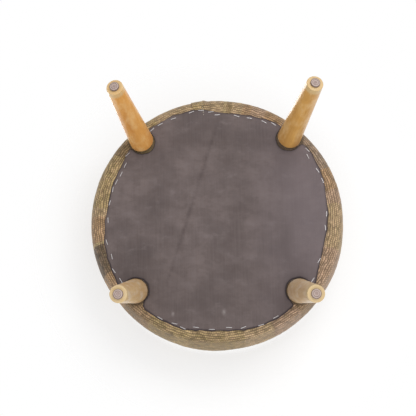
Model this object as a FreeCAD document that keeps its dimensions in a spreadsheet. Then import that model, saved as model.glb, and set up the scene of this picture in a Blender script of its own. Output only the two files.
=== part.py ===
import FreeCAD, Part
import Sketcher
import math
import os

# Round upholstered footstool on four splayed turned legs.
# Millimetres and degrees. +Z is up, the origin is on the floor under the middle of the seat.

Vector = FreeCAD.Vector

doc = FreeCAD.newDocument("Footstool")

# Driving sizes: name, value, what it is
SIZES = (
    ("board_underside", 203.0, "height of the seat board's bottom face above the floor"),
    ("board_thickness", 18.0, "plywood thickness"),
    ("board_edge_break", 1.5, "chamfer round the board's edge"),
    ("board_margin", 2.7, "how far the board's edge stays inside the start of the bottom roll"),
    ("seat_radius", 230.0, "widest radius of the upholstered seat"),
    ("widest_rise", 55.0, "height of the widest point above the board's bottom face"),
    ("side_curve", 200.0, "radius of the bulging side in section"),
    ("bottom_roll", 8.0, "radius of the roll under the seat"),
    ("seam_rise", 98.0, "height of the top seam above the board's bottom face"),
    ("seam_dip", 1.6, "half width of the crease at the top seam"),
    ("top_roll", 24.0, "radius of the roll above the top seam"),
    ("dome_rise", 14.0, "rise of the crown above the top of the roll"),
    ("cover_thickness", 1.6, "thickness of the woven cover"),
    ("cover_turn_under", 50.0, "how far the side band runs in under the board"),
    ("batting_thickness", 8.0, "thickness of the fibre wrap round the foam"),
    ("layer_gap", 0.2, "clearance between one soft layer and the next"),
    ("leg_inset", 17.0, "leg centre inside the board's edge"),
    ("leg_splay", 12.0, "lean of every leg from upright"),
    ("leg_top_radius", 21.5, "leg radius at the seat"),
    ("leg_foot_radius", 14.0, "leg radius at the foot"),
    ("leg_top_round", 2.5, "rounded rim at the seat end"),
    ("leg_foot_round", 1.2, "rounded rim at the foot end"),
    ("bolt_radius", 4.0, "hanger bolt"),
    ("bolt_in_wood", 38.0, "hanger bolt length inside the leg"),
    ("bolt_point", 7.0, "tapered point of the hanger bolt"),
    ("bolt_end_break", 0.8, "chamfer on the machine end of the hanger bolt"),
    ("bolt_short_of_top", 1.0, "bolt end below the top of the tee nut"),
    ("thread_clearance", 0.1, "clearance round the bolt"),
    ("bore_spare", 3.0, "depth left beyond the end of a screw or nail"),
    ("nut_flange_radius", 11.0, "tee nut flange"),
    ("nut_flange_thickness", 1.6, "tee nut flange thickness"),
    ("nut_barrel_radius", 5.2, "tee nut barrel"),
    ("nut_barrel_length", 11.0, "tee nut barrel below the flange"),
    ("nut_below_top", 0.3, "tee nut flange below the board's top face"),
    ("nut_clearance", 0.15, "clearance round the tee nut in the board"),
    ("prong_count", 4.0, "prongs on a tee nut"),
    ("prong_radius", 8.6, "prong centre from the tee nut's axis"),
    ("prong_length", 6.0, "prong depth below the flange"),
    ("prong_width", 3.0, "prong width"),
    ("prong_thickness", 1.2, "prong thickness"),
    ("glide_radius", 8.0, "nail glide"),
    ("glide_height", 4.5, "glide below the end of the leg"),
    ("glide_dome", 30.0, "radius of the glide's rounded face"),
    ("glide_edge_break", 0.6, "chamfer round the glide"),
    ("glide_flat_radius", 4.2, "flat in the middle of the glide"),
    ("glide_groove_width", 0.9, "ring groove round the flat"),
    ("glide_groove_depth", 0.7, "depth of the ring groove"),
    ("nail_head_radius", 3.5, "glide nail head"),
    ("nail_head_thickness", 1.2, "glide nail head thickness"),
    ("nail_radius", 1.2, "glide nail shank"),
    ("nail_length", 16.0, "glide nail length above its head"),
    ("nail_point", 3.0, "glide nail point"),
    ("nail_clearance", 0.1, "clearance round the glide nail"),
    ("dust_inset", 10.75, "dust cover's mean circle inside the start of the bottom roll"),
    ("dust_thickness", 0.6, "dust cover cloth"),
    ("dust_hem", 14.0, "width of the folded hem where it is narrowest"),
    ("dust_scallop", 0.05, "pull-in between staples as a share of their spacing"),
    ("dust_scallop_most", 2.5, "deepest pull-in between staples"),
    ("dust_notch", 1.0, "gap cut round each leg"),
    ("staple_crown", 10.0, "staple width"),
    ("staple_leg", 7.0, "staple depth"),
    ("staple_wire_width", 1.2, "staple wire width"),
    ("staple_wire_thickness", 0.5, "staple wire thickness"),
    ("staple_skew", 9.0, "how far hand-driven staples turn from true"),
    ("staple_clearance", 0.1, "clearance round a staple leg"),
    ("band_staple_count", 30.0, "staples under the dust cover that hold the side band"),
    ("band_staple_inset", 9.0, "staple inside the edge of the turned-under band"),
)

# Where each leg stands round the seat, and which way it leans, as azimuths from +X
LEGS = (
    ("front_left", 226.7, 223.5),
    ("front_right", 312.5, 319.5),
    ("back_left", 137.7, 104.0),
    ("back_right", 44.0, 75.5),
)

# The dust cover's hand-driven staples, in runs from one leg to the next: azimuth, how far the
# cover's edge there stands out from its mean circle, and how far inside the edge the staple is
BACK_STAPLES = (
    (61.5, 7.0, 4.5),
    (69.5, 7.0, 3.0),
    (78.0, 4.5, 5.5),
    (85.0, 1.5, 6.5),
    (93.5, 1.0, 3.5),
    (101.5, 3.5, 6.5),
    (107.5, 7.0, 3.5),
    (112.0, 6.0, 5.0),
    (119.5, 6.5, 3.5),
)
LEFT_STAPLES = (
    (146.5, 9.0, 8.5),
    (152.5, 6.5, 4.0),
    (159.5, 4.5, 9.0),
    (167.5, 2.5, 5.5),
    (179.0, -3.5, 6.0),
    (188.5, -7.0, 3.0),
    (196.0, -6.0, 4.0),
    (200.5, -6.0, 5.5),
    (205.5, -6.0, 7.5),
    (211.0, -5.5, 6.5),
    (216.5, -1.0, 3.0),
)
FRONT_STAPLES = (
    (235.0, 4.0, 5.5),
    (240.0, 3.0, 4.0),
    (247.5, 5.0, 7.0),
    (257.5, 4.0, 4.5),
    (262.5, 2.5, 3.0),
    (267.5, -2.5, 3.0),
    (271.0, -5.5, 6.0),
    (281.5, -5.5, 5.0),
    (288.5, -3.0, 6.0),
    (296.5, 0.5, 6.5),
    (301.5, 3.0, 4.5),
)
RIGHT_STAPLES = (
    (323.5, 4.5, 3.0),
    (326.5, 4.5, 10.0),
    (335.5, 1.5, 5.5),
    (341.5, -0.5, 3.0),
    (359.5, -6.0, 3.5),
    (367.0, -7.0, 4.5),
    (385.0, -5.0, 3.0),
    (395.5, 6.0, 7.5),
)
DUST_STAPLES = BACK_STAPLES + LEFT_STAPLES + FRONT_STAPLES + RIGHT_STAPLES

# Staples driven by hand all turn a little: radians from one staple's turn to the next one's
SKEW_STEP = 2.4

sheet = doc.addObject("Spreadsheet::Sheet", "Sizes")
for row, (name, size, note) in enumerate(SIZES, start=1):
    sheet.set(f"A{row}", name)
    sheet.set(f"B{row}", str(size))
    sheet.setAlias(f"B{row}", name)
    sheet.set(f"C{row}", note)
doc.recompute()

# Sizes that follow from the driving sizes
FORMULAS = (
    ("board_top", "Sizes.board_underside + Sizes.board_thickness"),
    ("underside", "Sizes.board_underside - Sizes.cover_thickness"),
    ("widest_height", "Sizes.board_underside + Sizes.widest_rise"),
    ("seam_height", "Sizes.board_underside + Sizes.seam_rise"),
    ("side_middle", "Sizes.seat_radius - Sizes.side_curve"),
    ("seam_up", "Derived.seam_height - Derived.widest_height"),
    ("seam_out", "sqrt(Sizes.side_curve * Sizes.side_curve - Derived.seam_up * Derived.seam_up)"),
    ("roll_share", "(Sizes.side_curve - Sizes.top_roll) / Sizes.side_curve"),
    ("roll_middle", "Derived.side_middle + Derived.seam_out * Derived.roll_share"),
    ("roll_height", "Derived.widest_height + Derived.seam_up * Derived.roll_share"),
    ("seat_top", "Derived.roll_height + Sizes.top_roll + Sizes.dome_rise"),
    ("crown_up", "Sizes.top_roll + Sizes.dome_rise"),
    ("crown_curve", "(Derived.roll_middle * Derived.roll_middle + Derived.crown_up * Derived.crown_up"
                    " - Sizes.top_roll * Sizes.top_roll) / (2 * Sizes.dome_rise)"),
    ("crown_height", "Derived.seat_top - Derived.crown_curve"),
    ("bottom_height", "Derived.underside + Sizes.bottom_roll"),
    ("bottom_down", "Derived.widest_height - Derived.bottom_height"),
    ("bottom_span", "Sizes.side_curve - Sizes.bottom_roll"),
    ("bottom_out", "sqrt(Derived.bottom_span * Derived.bottom_span"
                   " - Derived.bottom_down * Derived.bottom_down)"),
    ("bottom_middle", "Derived.side_middle + Derived.bottom_out"),
    ("board_radius", "Derived.bottom_middle - Sizes.board_margin"),
    ("band_inner_radius", "Derived.bottom_middle - Sizes.cover_turn_under"),
    ("leg_circle", "Derived.board_radius - Sizes.leg_inset"),
    ("splay_cos", "cos(Sizes.leg_splay * 1deg)"),
    ("splay_sin", "sin(Sizes.leg_splay * 1deg)"),
    ("leg_top_drop", "(Sizes.leg_top_radius - Sizes.leg_top_round) * Derived.splay_sin"
                     " + Sizes.leg_top_round * (1 - Derived.splay_cos)"),
    ("leg_top", "-(Sizes.cover_thickness + Sizes.layer_gap + Derived.leg_top_drop) / Derived.splay_cos"),
    ("dome_middle", "-(Sizes.board_underside - Sizes.glide_dome) / Derived.splay_cos"),
    ("glide_bottom", "Derived.dome_middle - Sizes.glide_dome"),
    ("leg_foot", "Derived.glide_bottom + Sizes.glide_height"),
    ("nut_top", "(Sizes.board_thickness - Sizes.nut_below_top"
                " - Sizes.nut_flange_radius * Derived.splay_sin) / Derived.splay_cos"),
    ("nut_seat", "Derived.nut_top - Sizes.nut_flange_thickness"),
    ("nut_bottom", "Derived.nut_seat - Sizes.nut_barrel_length"),
    ("nut_bore", "Sizes.bolt_radius + Sizes.thread_clearance"),
    ("bolt_top", "Derived.nut_top - Sizes.bolt_short_of_top"),
    ("bolt_tip", "Derived.leg_top - Sizes.bolt_in_wood"),
    ("dust_radius", "Derived.bottom_middle - Sizes.dust_inset"),
)

derived = doc.addObject("App::VarSet", "Derived")
for name, formula in FORMULAS:
    derived.addProperty("App::PropertyFloat", name, "Derived")
    derived.setExpression(name, formula)
doc.recompute()


def number(expression):
    """The present value of an expression on the sizes."""
    return float(sheet.evalExpression(expression))


def size(name):
    return float(getattr(sheet, name))


def worked_out(name):
    return float(getattr(derived, name))


# Outlines

OUTWARD = 1
INWARD = -1


def origin_plane(body, role):
    for feature in body.Origin.OriginFeatures:
        if feature.Role == role:
            return feature
    raise RuntimeError("no plane " + role)


def point_on_arc(start, end, radius, side):
    """The middle of the arc from start to end that bulges to the right (OUTWARD) or left of its way."""
    chord = end - start
    half = chord.Length / 2
    bulge = radius - math.sqrt(radius * radius - half * half)
    right_hand = Vector(chord.y, -chord.x, 0).normalize()
    return (start + end) / 2 + right_hand * bulge * side


def bind(sketch, constraint, expression):
    index = sketch.addConstraint(constraint)
    sketch.setExpression(f"Constraints[{index}]", expression)


def outline(body, corners, role="XZ_Plane"):
    """A closed sketch. A corner is (across, up), with (radius, side) added where an arc leaves it."""
    sketch = body.newObject("Sketcher::SketchObject", body.Name + "_outline")
    sketch.AttachmentSupport = (origin_plane(body, role), "")
    sketch.MapMode = "FlatFace"
    places = [Vector(number(corner[0]), number(corner[1]), 0) for corner in corners]
    first_ends = []
    for index, corner in enumerate(corners):
        start = places[index]
        end = places[(index + 1) % len(places)]
        if len(corner) == 2:
            sketch.addGeometry(Part.LineSegment(start, end), False)
            first_ends.append(1)
            continue
        radius, side = corner[2:]
        middle = point_on_arc(start, end, number(radius), side)
        if side == OUTWARD:
            sketch.addGeometry(Part.Arc(start, middle, end), False)
            first_ends.append(1)
        else:
            sketch.addGeometry(Part.Arc(end, middle, start), False)
            first_ends.append(2)
    for index, first_end in enumerate(first_ends):
        following = (index + 1) % len(first_ends)
        last_end = 3 - first_end
        sketch.addConstraint(Sketcher.Constraint("Coincident", index, last_end,
                                                 following, first_ends[following]))
    for index, corner in enumerate(corners):
        place = places[index]
        end = first_ends[index]
        bind(sketch, Sketcher.Constraint("DistanceX", -1, 1, index, end, place.x), corner[0])
        bind(sketch, Sketcher.Constraint("DistanceY", -1, 1, index, end, place.y), corner[1])
        if len(corner) > 2:
            bind(sketch, Sketcher.Constraint("Radius", index, number(corner[2])), corner[2])
    return sketch


def new_body(label):
    body = doc.addObject("PartDesign::Body", label)
    body.Label = label
    return body


def turned(label, corners):
    """A body turned about its own upright axis."""
    body = new_body(label)
    sketch = outline(body, corners)
    turn = body.newObject("PartDesign::Revolution", label + "_turn")
    turn.Profile = sketch
    turn.ReferenceAxis = (sketch, ["V_Axis"])
    turn.Angle = 360
    body.Tip = turn
    return body


# Corners of the seat's section, drawn in from the outside by an offset

def side_low(offset):
    share = f"(Sizes.side_curve - ({offset})) / Derived.bottom_span"
    across = f"Derived.side_middle + Derived.bottom_out * {share}"
    up = f"Derived.widest_height - Derived.bottom_down * {share}"
    return across, up


def seam(offset):
    share = f"(Sizes.side_curve - ({offset})) / Sizes.side_curve"
    across = f"Derived.side_middle + Derived.seam_out * {share}"
    up = f"Derived.widest_height + Derived.seam_up * {share}"
    return across, up


def roll_top(offset):
    share = f"(Sizes.top_roll - ({offset})) / (Derived.crown_curve - Sizes.top_roll)"
    across = f"Derived.roll_middle * (1 + {share})"
    up = f"Derived.roll_height + (Derived.roll_height - Derived.crown_height) * {share}"
    return across, up


def on_side(offset, height):
    radius = f"(Sizes.side_curve - ({offset}))"
    rise = f"({height} - Derived.widest_height)"
    across = f"Derived.side_middle + sqrt({radius} * {radius} - {rise} * {rise})"
    return across, height


def on_roll(height):
    rise = f"({height} - Derived.roll_height)"
    across = f"Derived.roll_middle + sqrt(Sizes.top_roll * Sizes.top_roll - {rise} * {rise})"
    return across, height


def top(offset):
    return "0", f"Derived.seat_top - ({offset})"


def side_arc(offset, side):
    return f"Sizes.side_curve - ({offset})", side


def bottom_arc(offset, side):
    return f"Sizes.bottom_roll - ({offset})", side


def roll_arc(offset, side):
    return f"Sizes.top_roll - ({offset})", side


def crown_arc(offset, side):
    return f"Derived.crown_curve - ({offset})", side


OUTER = "0"
COVER_INSIDE = "Sizes.cover_thickness"
BATTING_OUTSIDE = "Sizes.cover_thickness + Sizes.layer_gap"
BATTING_INSIDE = BATTING_OUTSIDE + " + Sizes.batting_thickness"
FOAM_OUTSIDE = BATTING_INSIDE + " + Sizes.layer_gap"


def make_side_band():
    """The boxed side of the cover, one strip from the top seam round under the board."""
    underside = "Derived.underside"
    below_seam = "Derived.seam_height - Sizes.seam_dip"
    return turned("cover_side_band_blank", [
        ("Derived.band_inner_radius", underside),
        ("Derived.bottom_middle", underside) + bottom_arc(OUTER, OUTWARD),
        side_low(OUTER) + side_arc(OUTER, OUTWARD),
        on_side(OUTER, below_seam),
        seam(COVER_INSIDE) + side_arc(COVER_INSIDE, INWARD),
        side_low(COVER_INSIDE) + bottom_arc(COVER_INSIDE, INWARD),
        ("Derived.bottom_middle", "Sizes.board_underside"),
        ("Derived.band_inner_radius", "Sizes.board_underside"),
    ])


def make_top_panel():
    """The round top of the cover, crowned, down to the seam with the side band."""
    above_seam = "Derived.seam_height + Sizes.seam_dip"
    return turned("cover_top_panel", [
        seam(COVER_INSIDE),
        on_roll(above_seam) + roll_arc(OUTER, OUTWARD),
        roll_top(OUTER) + crown_arc(OUTER, OUTWARD),
        top(OUTER),
        top(COVER_INSIDE) + crown_arc(COVER_INSIDE, INWARD),
        roll_top(COVER_INSIDE) + roll_arc(COVER_INSIDE, INWARD),
    ])


def make_batting():
    """Fibre wrap over the foam and down past the board's edge."""
    beside_board = "Derived.board_radius + Sizes.layer_gap"
    shelf = "Derived.board_top - Sizes.layer_gap"
    bottom = "Sizes.board_underside + Sizes.layer_gap"
    return turned("batting", [
        (beside_board, bottom),
        ("Derived.bottom_middle", bottom) + bottom_arc(BATTING_OUTSIDE, OUTWARD),
        side_low(BATTING_OUTSIDE) + side_arc(BATTING_OUTSIDE, OUTWARD),
        seam(BATTING_OUTSIDE) + roll_arc(BATTING_OUTSIDE, OUTWARD),
        roll_top(BATTING_OUTSIDE) + crown_arc(BATTING_OUTSIDE, OUTWARD),
        top(BATTING_OUTSIDE),
        top(BATTING_INSIDE) + crown_arc(BATTING_INSIDE, INWARD),
        roll_top(BATTING_INSIDE) + roll_arc(BATTING_INSIDE, INWARD),
        seam(BATTING_INSIDE) + side_arc(BATTING_INSIDE, INWARD),
        on_side(BATTING_INSIDE, shelf),
        (beside_board, shelf),
    ])


def make_foam():
    """Crowned foam block that stands on the board."""
    return turned("foam_core", [
        ("0", "Derived.board_top"),
        on_side(FOAM_OUTSIDE, "Derived.board_top") + side_arc(FOAM_OUTSIDE, OUTWARD),
        seam(FOAM_OUTSIDE) + roll_arc(FOAM_OUTSIDE, OUTWARD),
        roll_top(FOAM_OUTSIDE) + crown_arc(FOAM_OUTSIDE, OUTWARD),
        top(FOAM_OUTSIDE),
    ])


def make_board_blank():
    low = "Sizes.board_underside"
    high = "Derived.board_top"
    chamfer = "Sizes.board_edge_break"
    return turned("seat_board_blank", [
        ("0", low),
        (f"Derived.board_radius - {chamfer}", low),
        ("Derived.board_radius", f"{low} + {chamfer}"),
        ("Derived.board_radius", f"{high} - {chamfer}"),
        (f"Derived.board_radius - {chamfer}", high),
        ("0", high),
    ])


# Legs and their hardware, in a leg's own frame: its axis is +Z up into the seat,
# and zero is where the axis meets the board's bottom face

def make_leg(name):
    foot = "Derived.leg_foot"
    head = "Derived.leg_top"
    foot_radius = "Sizes.leg_foot_radius"
    head_radius = "Sizes.leg_top_radius"
    foot_round = "Sizes.leg_foot_round"
    head_round = "Sizes.leg_top_round"
    nail_bore = "Sizes.nail_radius + Sizes.nail_clearance"
    nail_end = f"{foot} + Sizes.nail_length + Sizes.bore_spare"
    bolt_end = "Derived.bolt_tip - Sizes.bore_spare"
    return turned(name, [
        (nail_bore, foot),
        (f"{foot_radius} - {foot_round}", foot, foot_round, OUTWARD),
        (foot_radius, f"{foot} + {foot_round}"),
        (head_radius, f"{head} - {head_round}", head_round, OUTWARD),
        (f"{head_radius} - {head_round}", head),
        ("Derived.nut_bore", head),
        ("Derived.nut_bore", bolt_end),
        ("0", bolt_end),
        ("0", nail_end),
        (nail_bore, nail_end),
    ])


def make_hanger_bolt(name):
    end = "Derived.bolt_top"
    radius = "Sizes.bolt_radius"
    chamfer = "Sizes.bolt_end_break"
    return turned(name, [
        ("0", "Derived.bolt_tip"),
        (radius, "Derived.bolt_tip + Sizes.bolt_point"),
        (radius, f"{end} - {chamfer}"),
        (f"{radius} - {chamfer}", end),
        ("0", end),
    ])


def add_prongs(body, clearance):
    """Prongs that hang from the tee nut's flange, or the slots that take them."""
    half_width = f"(Sizes.prong_width / 2 + {clearance})"
    inner = f"(Sizes.prong_radius - Sizes.prong_thickness / 2 - {clearance})"
    outer = f"(Sizes.prong_radius + Sizes.prong_thickness / 2 + {clearance})"
    sketch = outline(body, [
        (inner, f"-{half_width}"),
        (outer, f"-{half_width}"),
        (outer, half_width),
        (inner, half_width),
    ], role="XY_Plane")
    tip = f"Derived.nut_seat - Sizes.prong_length - {clearance}"
    sketch.AttachmentOffset = FreeCAD.Placement(Vector(0, 0, number(tip)), FreeCAD.Rotation())
    sketch.setExpression("AttachmentOffset.Base.z", tip)
    prong = body.newObject("PartDesign::Pad", body.Name + "_prong")
    prong.Profile = sketch
    prong.setExpression("Length", f"Sizes.prong_length + {clearance} + Sizes.nut_flange_thickness / 2")
    doc.recompute()
    ring = body.newObject("PartDesign::PolarPattern", body.Name + "_prongs")
    ring.Originals = [prong]
    ring.Axis = (sketch, ["N_Axis"])
    ring.Angle = 360
    ring.setExpression("Occurrences", "Sizes.prong_count")
    body.Tip = ring
    doc.recompute()


def make_tee_nut(name):
    bore = "Derived.nut_bore"
    barrel = "Sizes.nut_barrel_radius"
    flange = "Sizes.nut_flange_radius"
    body = turned(name, [
        (bore, "Derived.nut_bottom"),
        (barrel, "Derived.nut_bottom"),
        (barrel, "Derived.nut_seat"),
        (flange, "Derived.nut_seat"),
        (flange, "Derived.nut_top"),
        (bore, "Derived.nut_top"),
    ])
    add_prongs(body, "0")
    return body


def make_board_drilling(name):
    """What is cut from the board for a tee nut: the bore, the sunk seat and the prong slots."""
    clearance = "Sizes.nut_clearance"
    bore = f"Sizes.nut_barrel_radius + {clearance}"
    seat = f"Sizes.nut_flange_radius + {clearance}"
    body = turned(name, [
        ("0", "-Sizes.board_thickness"),
        (bore, "-Sizes.board_thickness"),
        (bore, "Derived.nut_seat"),
        (seat, "Derived.nut_seat"),
        (seat, "2 * Sizes.board_thickness"),
        ("0", "2 * Sizes.board_thickness"),
    ])
    add_prongs(body, clearance)
    return body


def make_band_hole(name):
    """The hole burned through the turned-under band for a hanger bolt."""
    hole = "Sizes.nut_barrel_radius + Sizes.nut_clearance"
    return turned(name, [
        ("0", "-Sizes.board_thickness"),
        (hole, "-Sizes.board_thickness"),
        (hole, "Sizes.board_thickness"),
        ("0", "Sizes.board_thickness"),
    ])


def dome_at(radius):
    return f"Derived.dome_middle - sqrt(Sizes.glide_dome * Sizes.glide_dome - ({radius}) * ({radius}))"


def make_glide(name):
    flat = "Sizes.glide_flat_radius"
    ring = "Sizes.glide_flat_radius + Sizes.glide_groove_width"
    edge = "Sizes.glide_radius - Sizes.glide_edge_break"
    pocket = "Sizes.nail_head_radius + Sizes.nail_clearance"
    pocket_floor = "Derived.leg_foot - Sizes.nail_head_thickness - Sizes.nail_clearance"
    groove_floor = f"{dome_at(flat)} + Sizes.glide_groove_depth"
    return turned(name, [
        ("0", dome_at(flat)),
        (flat, dome_at(flat)),
        (flat, groove_floor),
        (ring, groove_floor),
        (ring, dome_at(ring), "Sizes.glide_dome", OUTWARD),
        (edge, dome_at(edge)),
        ("Sizes.glide_radius", f"{dome_at(edge)} + Sizes.glide_edge_break"),
        ("Sizes.glide_radius", "Derived.leg_foot"),
        (pocket, "Derived.leg_foot"),
        (pocket, pocket_floor),
        ("0", pocket_floor),
    ])


def make_glide_nail(name):
    head = "Derived.leg_foot - Sizes.nail_head_thickness"
    tip = "Derived.leg_foot + Sizes.nail_length"
    return turned(name, [
        ("0", head),
        ("Sizes.nail_head_radius", head),
        ("Sizes.nail_head_radius", "Derived.leg_foot"),
        ("Sizes.nail_radius", "Derived.leg_foot"),
        ("Sizes.nail_radius", f"{tip} - Sizes.nail_point"),
        ("0", tip),
    ])


def leg_placement(azimuth, lean):
    """Puts a leg's own frame on its circle under the board and leans it outward."""
    turn = math.radians(azimuth)
    reach = worked_out("leg_circle")
    base = Vector(reach * math.cos(turn), reach * math.sin(turn), size("board_underside"))
    way = math.radians(lean)
    hinge = Vector(math.sin(way), -math.cos(way), 0)
    return FreeCAD.Placement(base, FreeCAD.Rotation(hinge, size("leg_splay")))


# Staples and the dust cover

def polar(radius, azimuth, up=0.0):
    turn = math.radians(azimuth)
    return Vector(radius * math.cos(turn), radius * math.sin(turn), up)


def staple_legs(clearance=0.0):
    """The two legs of a staple that lies flat under zero height, or the holes that they make."""
    width = size("staple_wire_width") + 2 * clearance
    wire = size("staple_wire_thickness") + 2 * clearance
    reach = size("staple_crown") / 2 + clearance
    low = Vector(-width / 2, 0, -clearance)
    height = size("staple_leg") + 2 * clearance
    left = Part.makeBox(width, wire, height, low - Vector(0, reach, 0))
    right = Part.makeBox(width, wire, height, low + Vector(0, reach - wire, 0))
    return left, right


def staple():
    width = size("staple_wire_width")
    wire = size("staple_wire_thickness")
    crown = size("staple_crown")
    back = Part.makeBox(width, crown, wire, Vector(-width / 2, -crown / 2, -wire))
    return back.fuse(staple_legs()).removeSplitter()


def dust_underside():
    return worked_out("underside") - 2 * size("dust_thickness")


def dust_staple_places():
    places = []
    for index, (azimuth, stand_out, inset) in enumerate(DUST_STAPLES):
        radius = worked_out("dust_radius") + stand_out - inset
        turn = azimuth + size("staple_skew") * math.sin(SKEW_STEP * index)
        rotation = FreeCAD.Rotation(Vector(0, 0, 1), turn)
        places.append(FreeCAD.Placement(polar(radius, azimuth, dust_underside()), rotation))
    return places


def band_staple_places():
    radius = worked_out("band_inner_radius") + size("band_staple_inset")
    count = int(size("band_staple_count"))
    places = []
    for index in range(count):
        azimuth = 360.0 * (index + 0.5) / count
        turn = azimuth + size("staple_skew") * math.sin(SKEW_STEP * index)
        rotation = FreeCAD.Rotation(Vector(0, 0, 1), turn)
        places.append(FreeCAD.Placement(polar(radius, azimuth, worked_out("underside")), rotation))
    return places


def copies(shapes, places):
    """Each shape once at each place."""
    placed = []
    for place in places:
        for shape in shapes:
            placed.append(shape.transformed(place.toMatrix(), True))
    return placed


def dust_outline():
    """The cover's pulled edge: one shallow hollow from each staple to the next."""
    edges = []
    for index, (azimuth, stand_out, _) in enumerate(DUST_STAPLES):
        following, next_stand_out, _ = DUST_STAPLES[(index + 1) % len(DUST_STAPLES)]
        start = polar(worked_out("dust_radius") + stand_out, azimuth)
        end = polar(worked_out("dust_radius") + next_stand_out, following)
        halfway = azimuth + (following - azimuth) % 360 / 2
        pull = min(size("dust_scallop") * (end - start).Length, size("dust_scallop_most"))
        middle = polar(worked_out("dust_radius") + (stand_out + next_stand_out) / 2 - pull, halfway)
        edges.append(Part.Arc(start, middle, end).toShape())
    return Part.Wire(edges)


def leg_notch(azimuth, low, height):
    """What is cut from the cloth for one leg: round on the inner side, open to the edge."""
    radius = size("leg_top_radius") + size("dust_notch")
    reach = worked_out("leg_circle")
    round_end = Part.makeCylinder(radius, height, Vector(reach, 0, low))
    opening = Part.makeBox(worked_out("dust_radius"), 2 * radius, height, Vector(reach, -radius, low))
    notch = round_end.fuse(opening).removeSplitter()
    notch.rotate(Vector(0, 0, 0), Vector(0, 0, 1), azimuth)
    return notch


def dust_cover_shape():
    """The cloth, with its folded hem on the board's side, cut round the legs and pierced."""
    cloth = size("dust_thickness")
    under = dust_underside()
    sheet_solid = Part.Face(dust_outline()).extrude(Vector(0, 0, cloth))
    hem = Part.Face(dust_outline()).extrude(Vector(0, 0, cloth))
    least_edge = worked_out("dust_radius") + min(stand_out for _, stand_out, _ in DUST_STAPLES)
    hem_inner = least_edge - size("dust_hem")
    hem = hem.cut(Part.makeCylinder(hem_inner, 3 * cloth, Vector(0, 0, -cloth)))
    hem.translate(Vector(0, 0, cloth))
    shape = sheet_solid.fuse(hem).removeSplitter()
    shape.translate(Vector(0, 0, under))
    cuts = [leg_notch(azimuth, under - cloth, 4 * cloth) for _, azimuth, _ in LEGS]
    cuts.extend(copies(staple_legs(size("staple_clearance")), dust_staple_places()))
    return shape.cut(cuts)


def feature(label, shape):
    thing = doc.addObject("Part::Feature", label)
    thing.Label = label
    thing.Shape = shape
    return thing


def cut_feature(label, blank, tools):
    """A blank less its tools, both of them objects of the document."""
    group = doc.addObject("Part::Compound", label + "_tools")
    group.Links = tools
    cut = doc.addObject("Part::Cut", label)
    cut.Label = label
    cut.Base = blank
    cut.Tool = group
    doc.recompute()
    return cut


# The parts

parts = []

leg_parts = (
    ("leg_", make_leg),
    ("hanger_bolt_", make_hanger_bolt),
    ("tee_nut_", make_tee_nut),
    ("glide_", make_glide),
    ("glide_nail_", make_glide_nail),
)
drillings = []
band_holes = []
for corner_name, azimuth, lean in LEGS:
    placement = leg_placement(azimuth, lean)
    for prefix, make in leg_parts:
        part = make(prefix + corner_name)
        part.Placement = placement
        parts.append(part)
    drilling = make_board_drilling("board_drilling_" + corner_name)
    drilling.Placement = placement
    drillings.append(drilling)
    band_hole = make_band_hole("band_hole_" + corner_name)
    band_hole.Placement = placement
    band_holes.append(band_hole)

staple_places = dust_staple_places() + band_staple_places()
holes = copies(staple_legs(size("staple_clearance")), staple_places)
staple_holes = feature("staple_holes", Part.makeCompound(holes))

seat_board = cut_feature("seat_board", make_board_blank(), drillings + [staple_holes])
side_band = cut_feature("cover_side_band", make_side_band(), band_holes + [staple_holes])
parts.extend([seat_board, side_band, make_top_panel(), make_batting(), make_foam()])
parts.append(feature("dust_cover", dust_cover_shape()))
for label, places in (("dust_cover_staples", dust_staple_places()), ("band_staples", band_staple_places())):
    parts.append(feature(label, Part.makeCompound(copies([staple()], places))))
doc.recompute()

# Checks on the finished document, then one STEP file for each part

for thing in doc.Objects:
    for word in ("Invalid", "Error"):
        if word in thing.State:
            raise RuntimeError(f"{thing.Label} is {word}")

for part in parts:
    if part.Shape.isNull() or not part.Shape.isValid() or not part.Shape.Solids:
        raise RuntimeError(part.Label + " has no valid solid")

os.makedirs("parts", exist_ok=True)
for part in parts:
    part.Shape.exportStep(os.path.join("parts", part.Label + ".step"))
    solids = len(part.Shape.Solids)
    print(f"{part.Label}: {solids} solid(s), {part.Shape.Volume / 1000:.2f} cm3")

print(f"seat top at {worked_out('seat_top'):.1f} mm, leg length"
      f" {worked_out('leg_top') - worked_out('leg_foot'):.1f} mm")
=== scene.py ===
import math

import bpy
import numpy as np
from mathutils import Matrix, Vector
from mathutils.geometry import delaunay_2d_cdt
from mathutils.kdtree import KDTree


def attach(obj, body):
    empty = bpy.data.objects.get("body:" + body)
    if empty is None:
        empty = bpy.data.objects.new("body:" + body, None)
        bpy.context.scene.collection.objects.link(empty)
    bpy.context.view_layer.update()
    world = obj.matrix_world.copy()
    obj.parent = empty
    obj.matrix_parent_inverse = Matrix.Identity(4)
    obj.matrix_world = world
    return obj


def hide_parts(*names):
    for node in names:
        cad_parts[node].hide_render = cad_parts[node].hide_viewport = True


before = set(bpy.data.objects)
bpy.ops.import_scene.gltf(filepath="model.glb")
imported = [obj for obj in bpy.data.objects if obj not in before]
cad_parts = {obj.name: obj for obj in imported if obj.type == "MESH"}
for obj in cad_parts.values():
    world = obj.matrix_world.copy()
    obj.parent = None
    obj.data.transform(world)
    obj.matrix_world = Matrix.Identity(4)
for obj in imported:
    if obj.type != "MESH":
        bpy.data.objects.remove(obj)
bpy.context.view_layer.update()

# Upholstered footstool. The frame is in metres with the feet on z = 0. Sizes of shapes are in millimetres
# here, and MM turns them into metres. Materials, lamps and camera are in metres.
MM = 0.001

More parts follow.
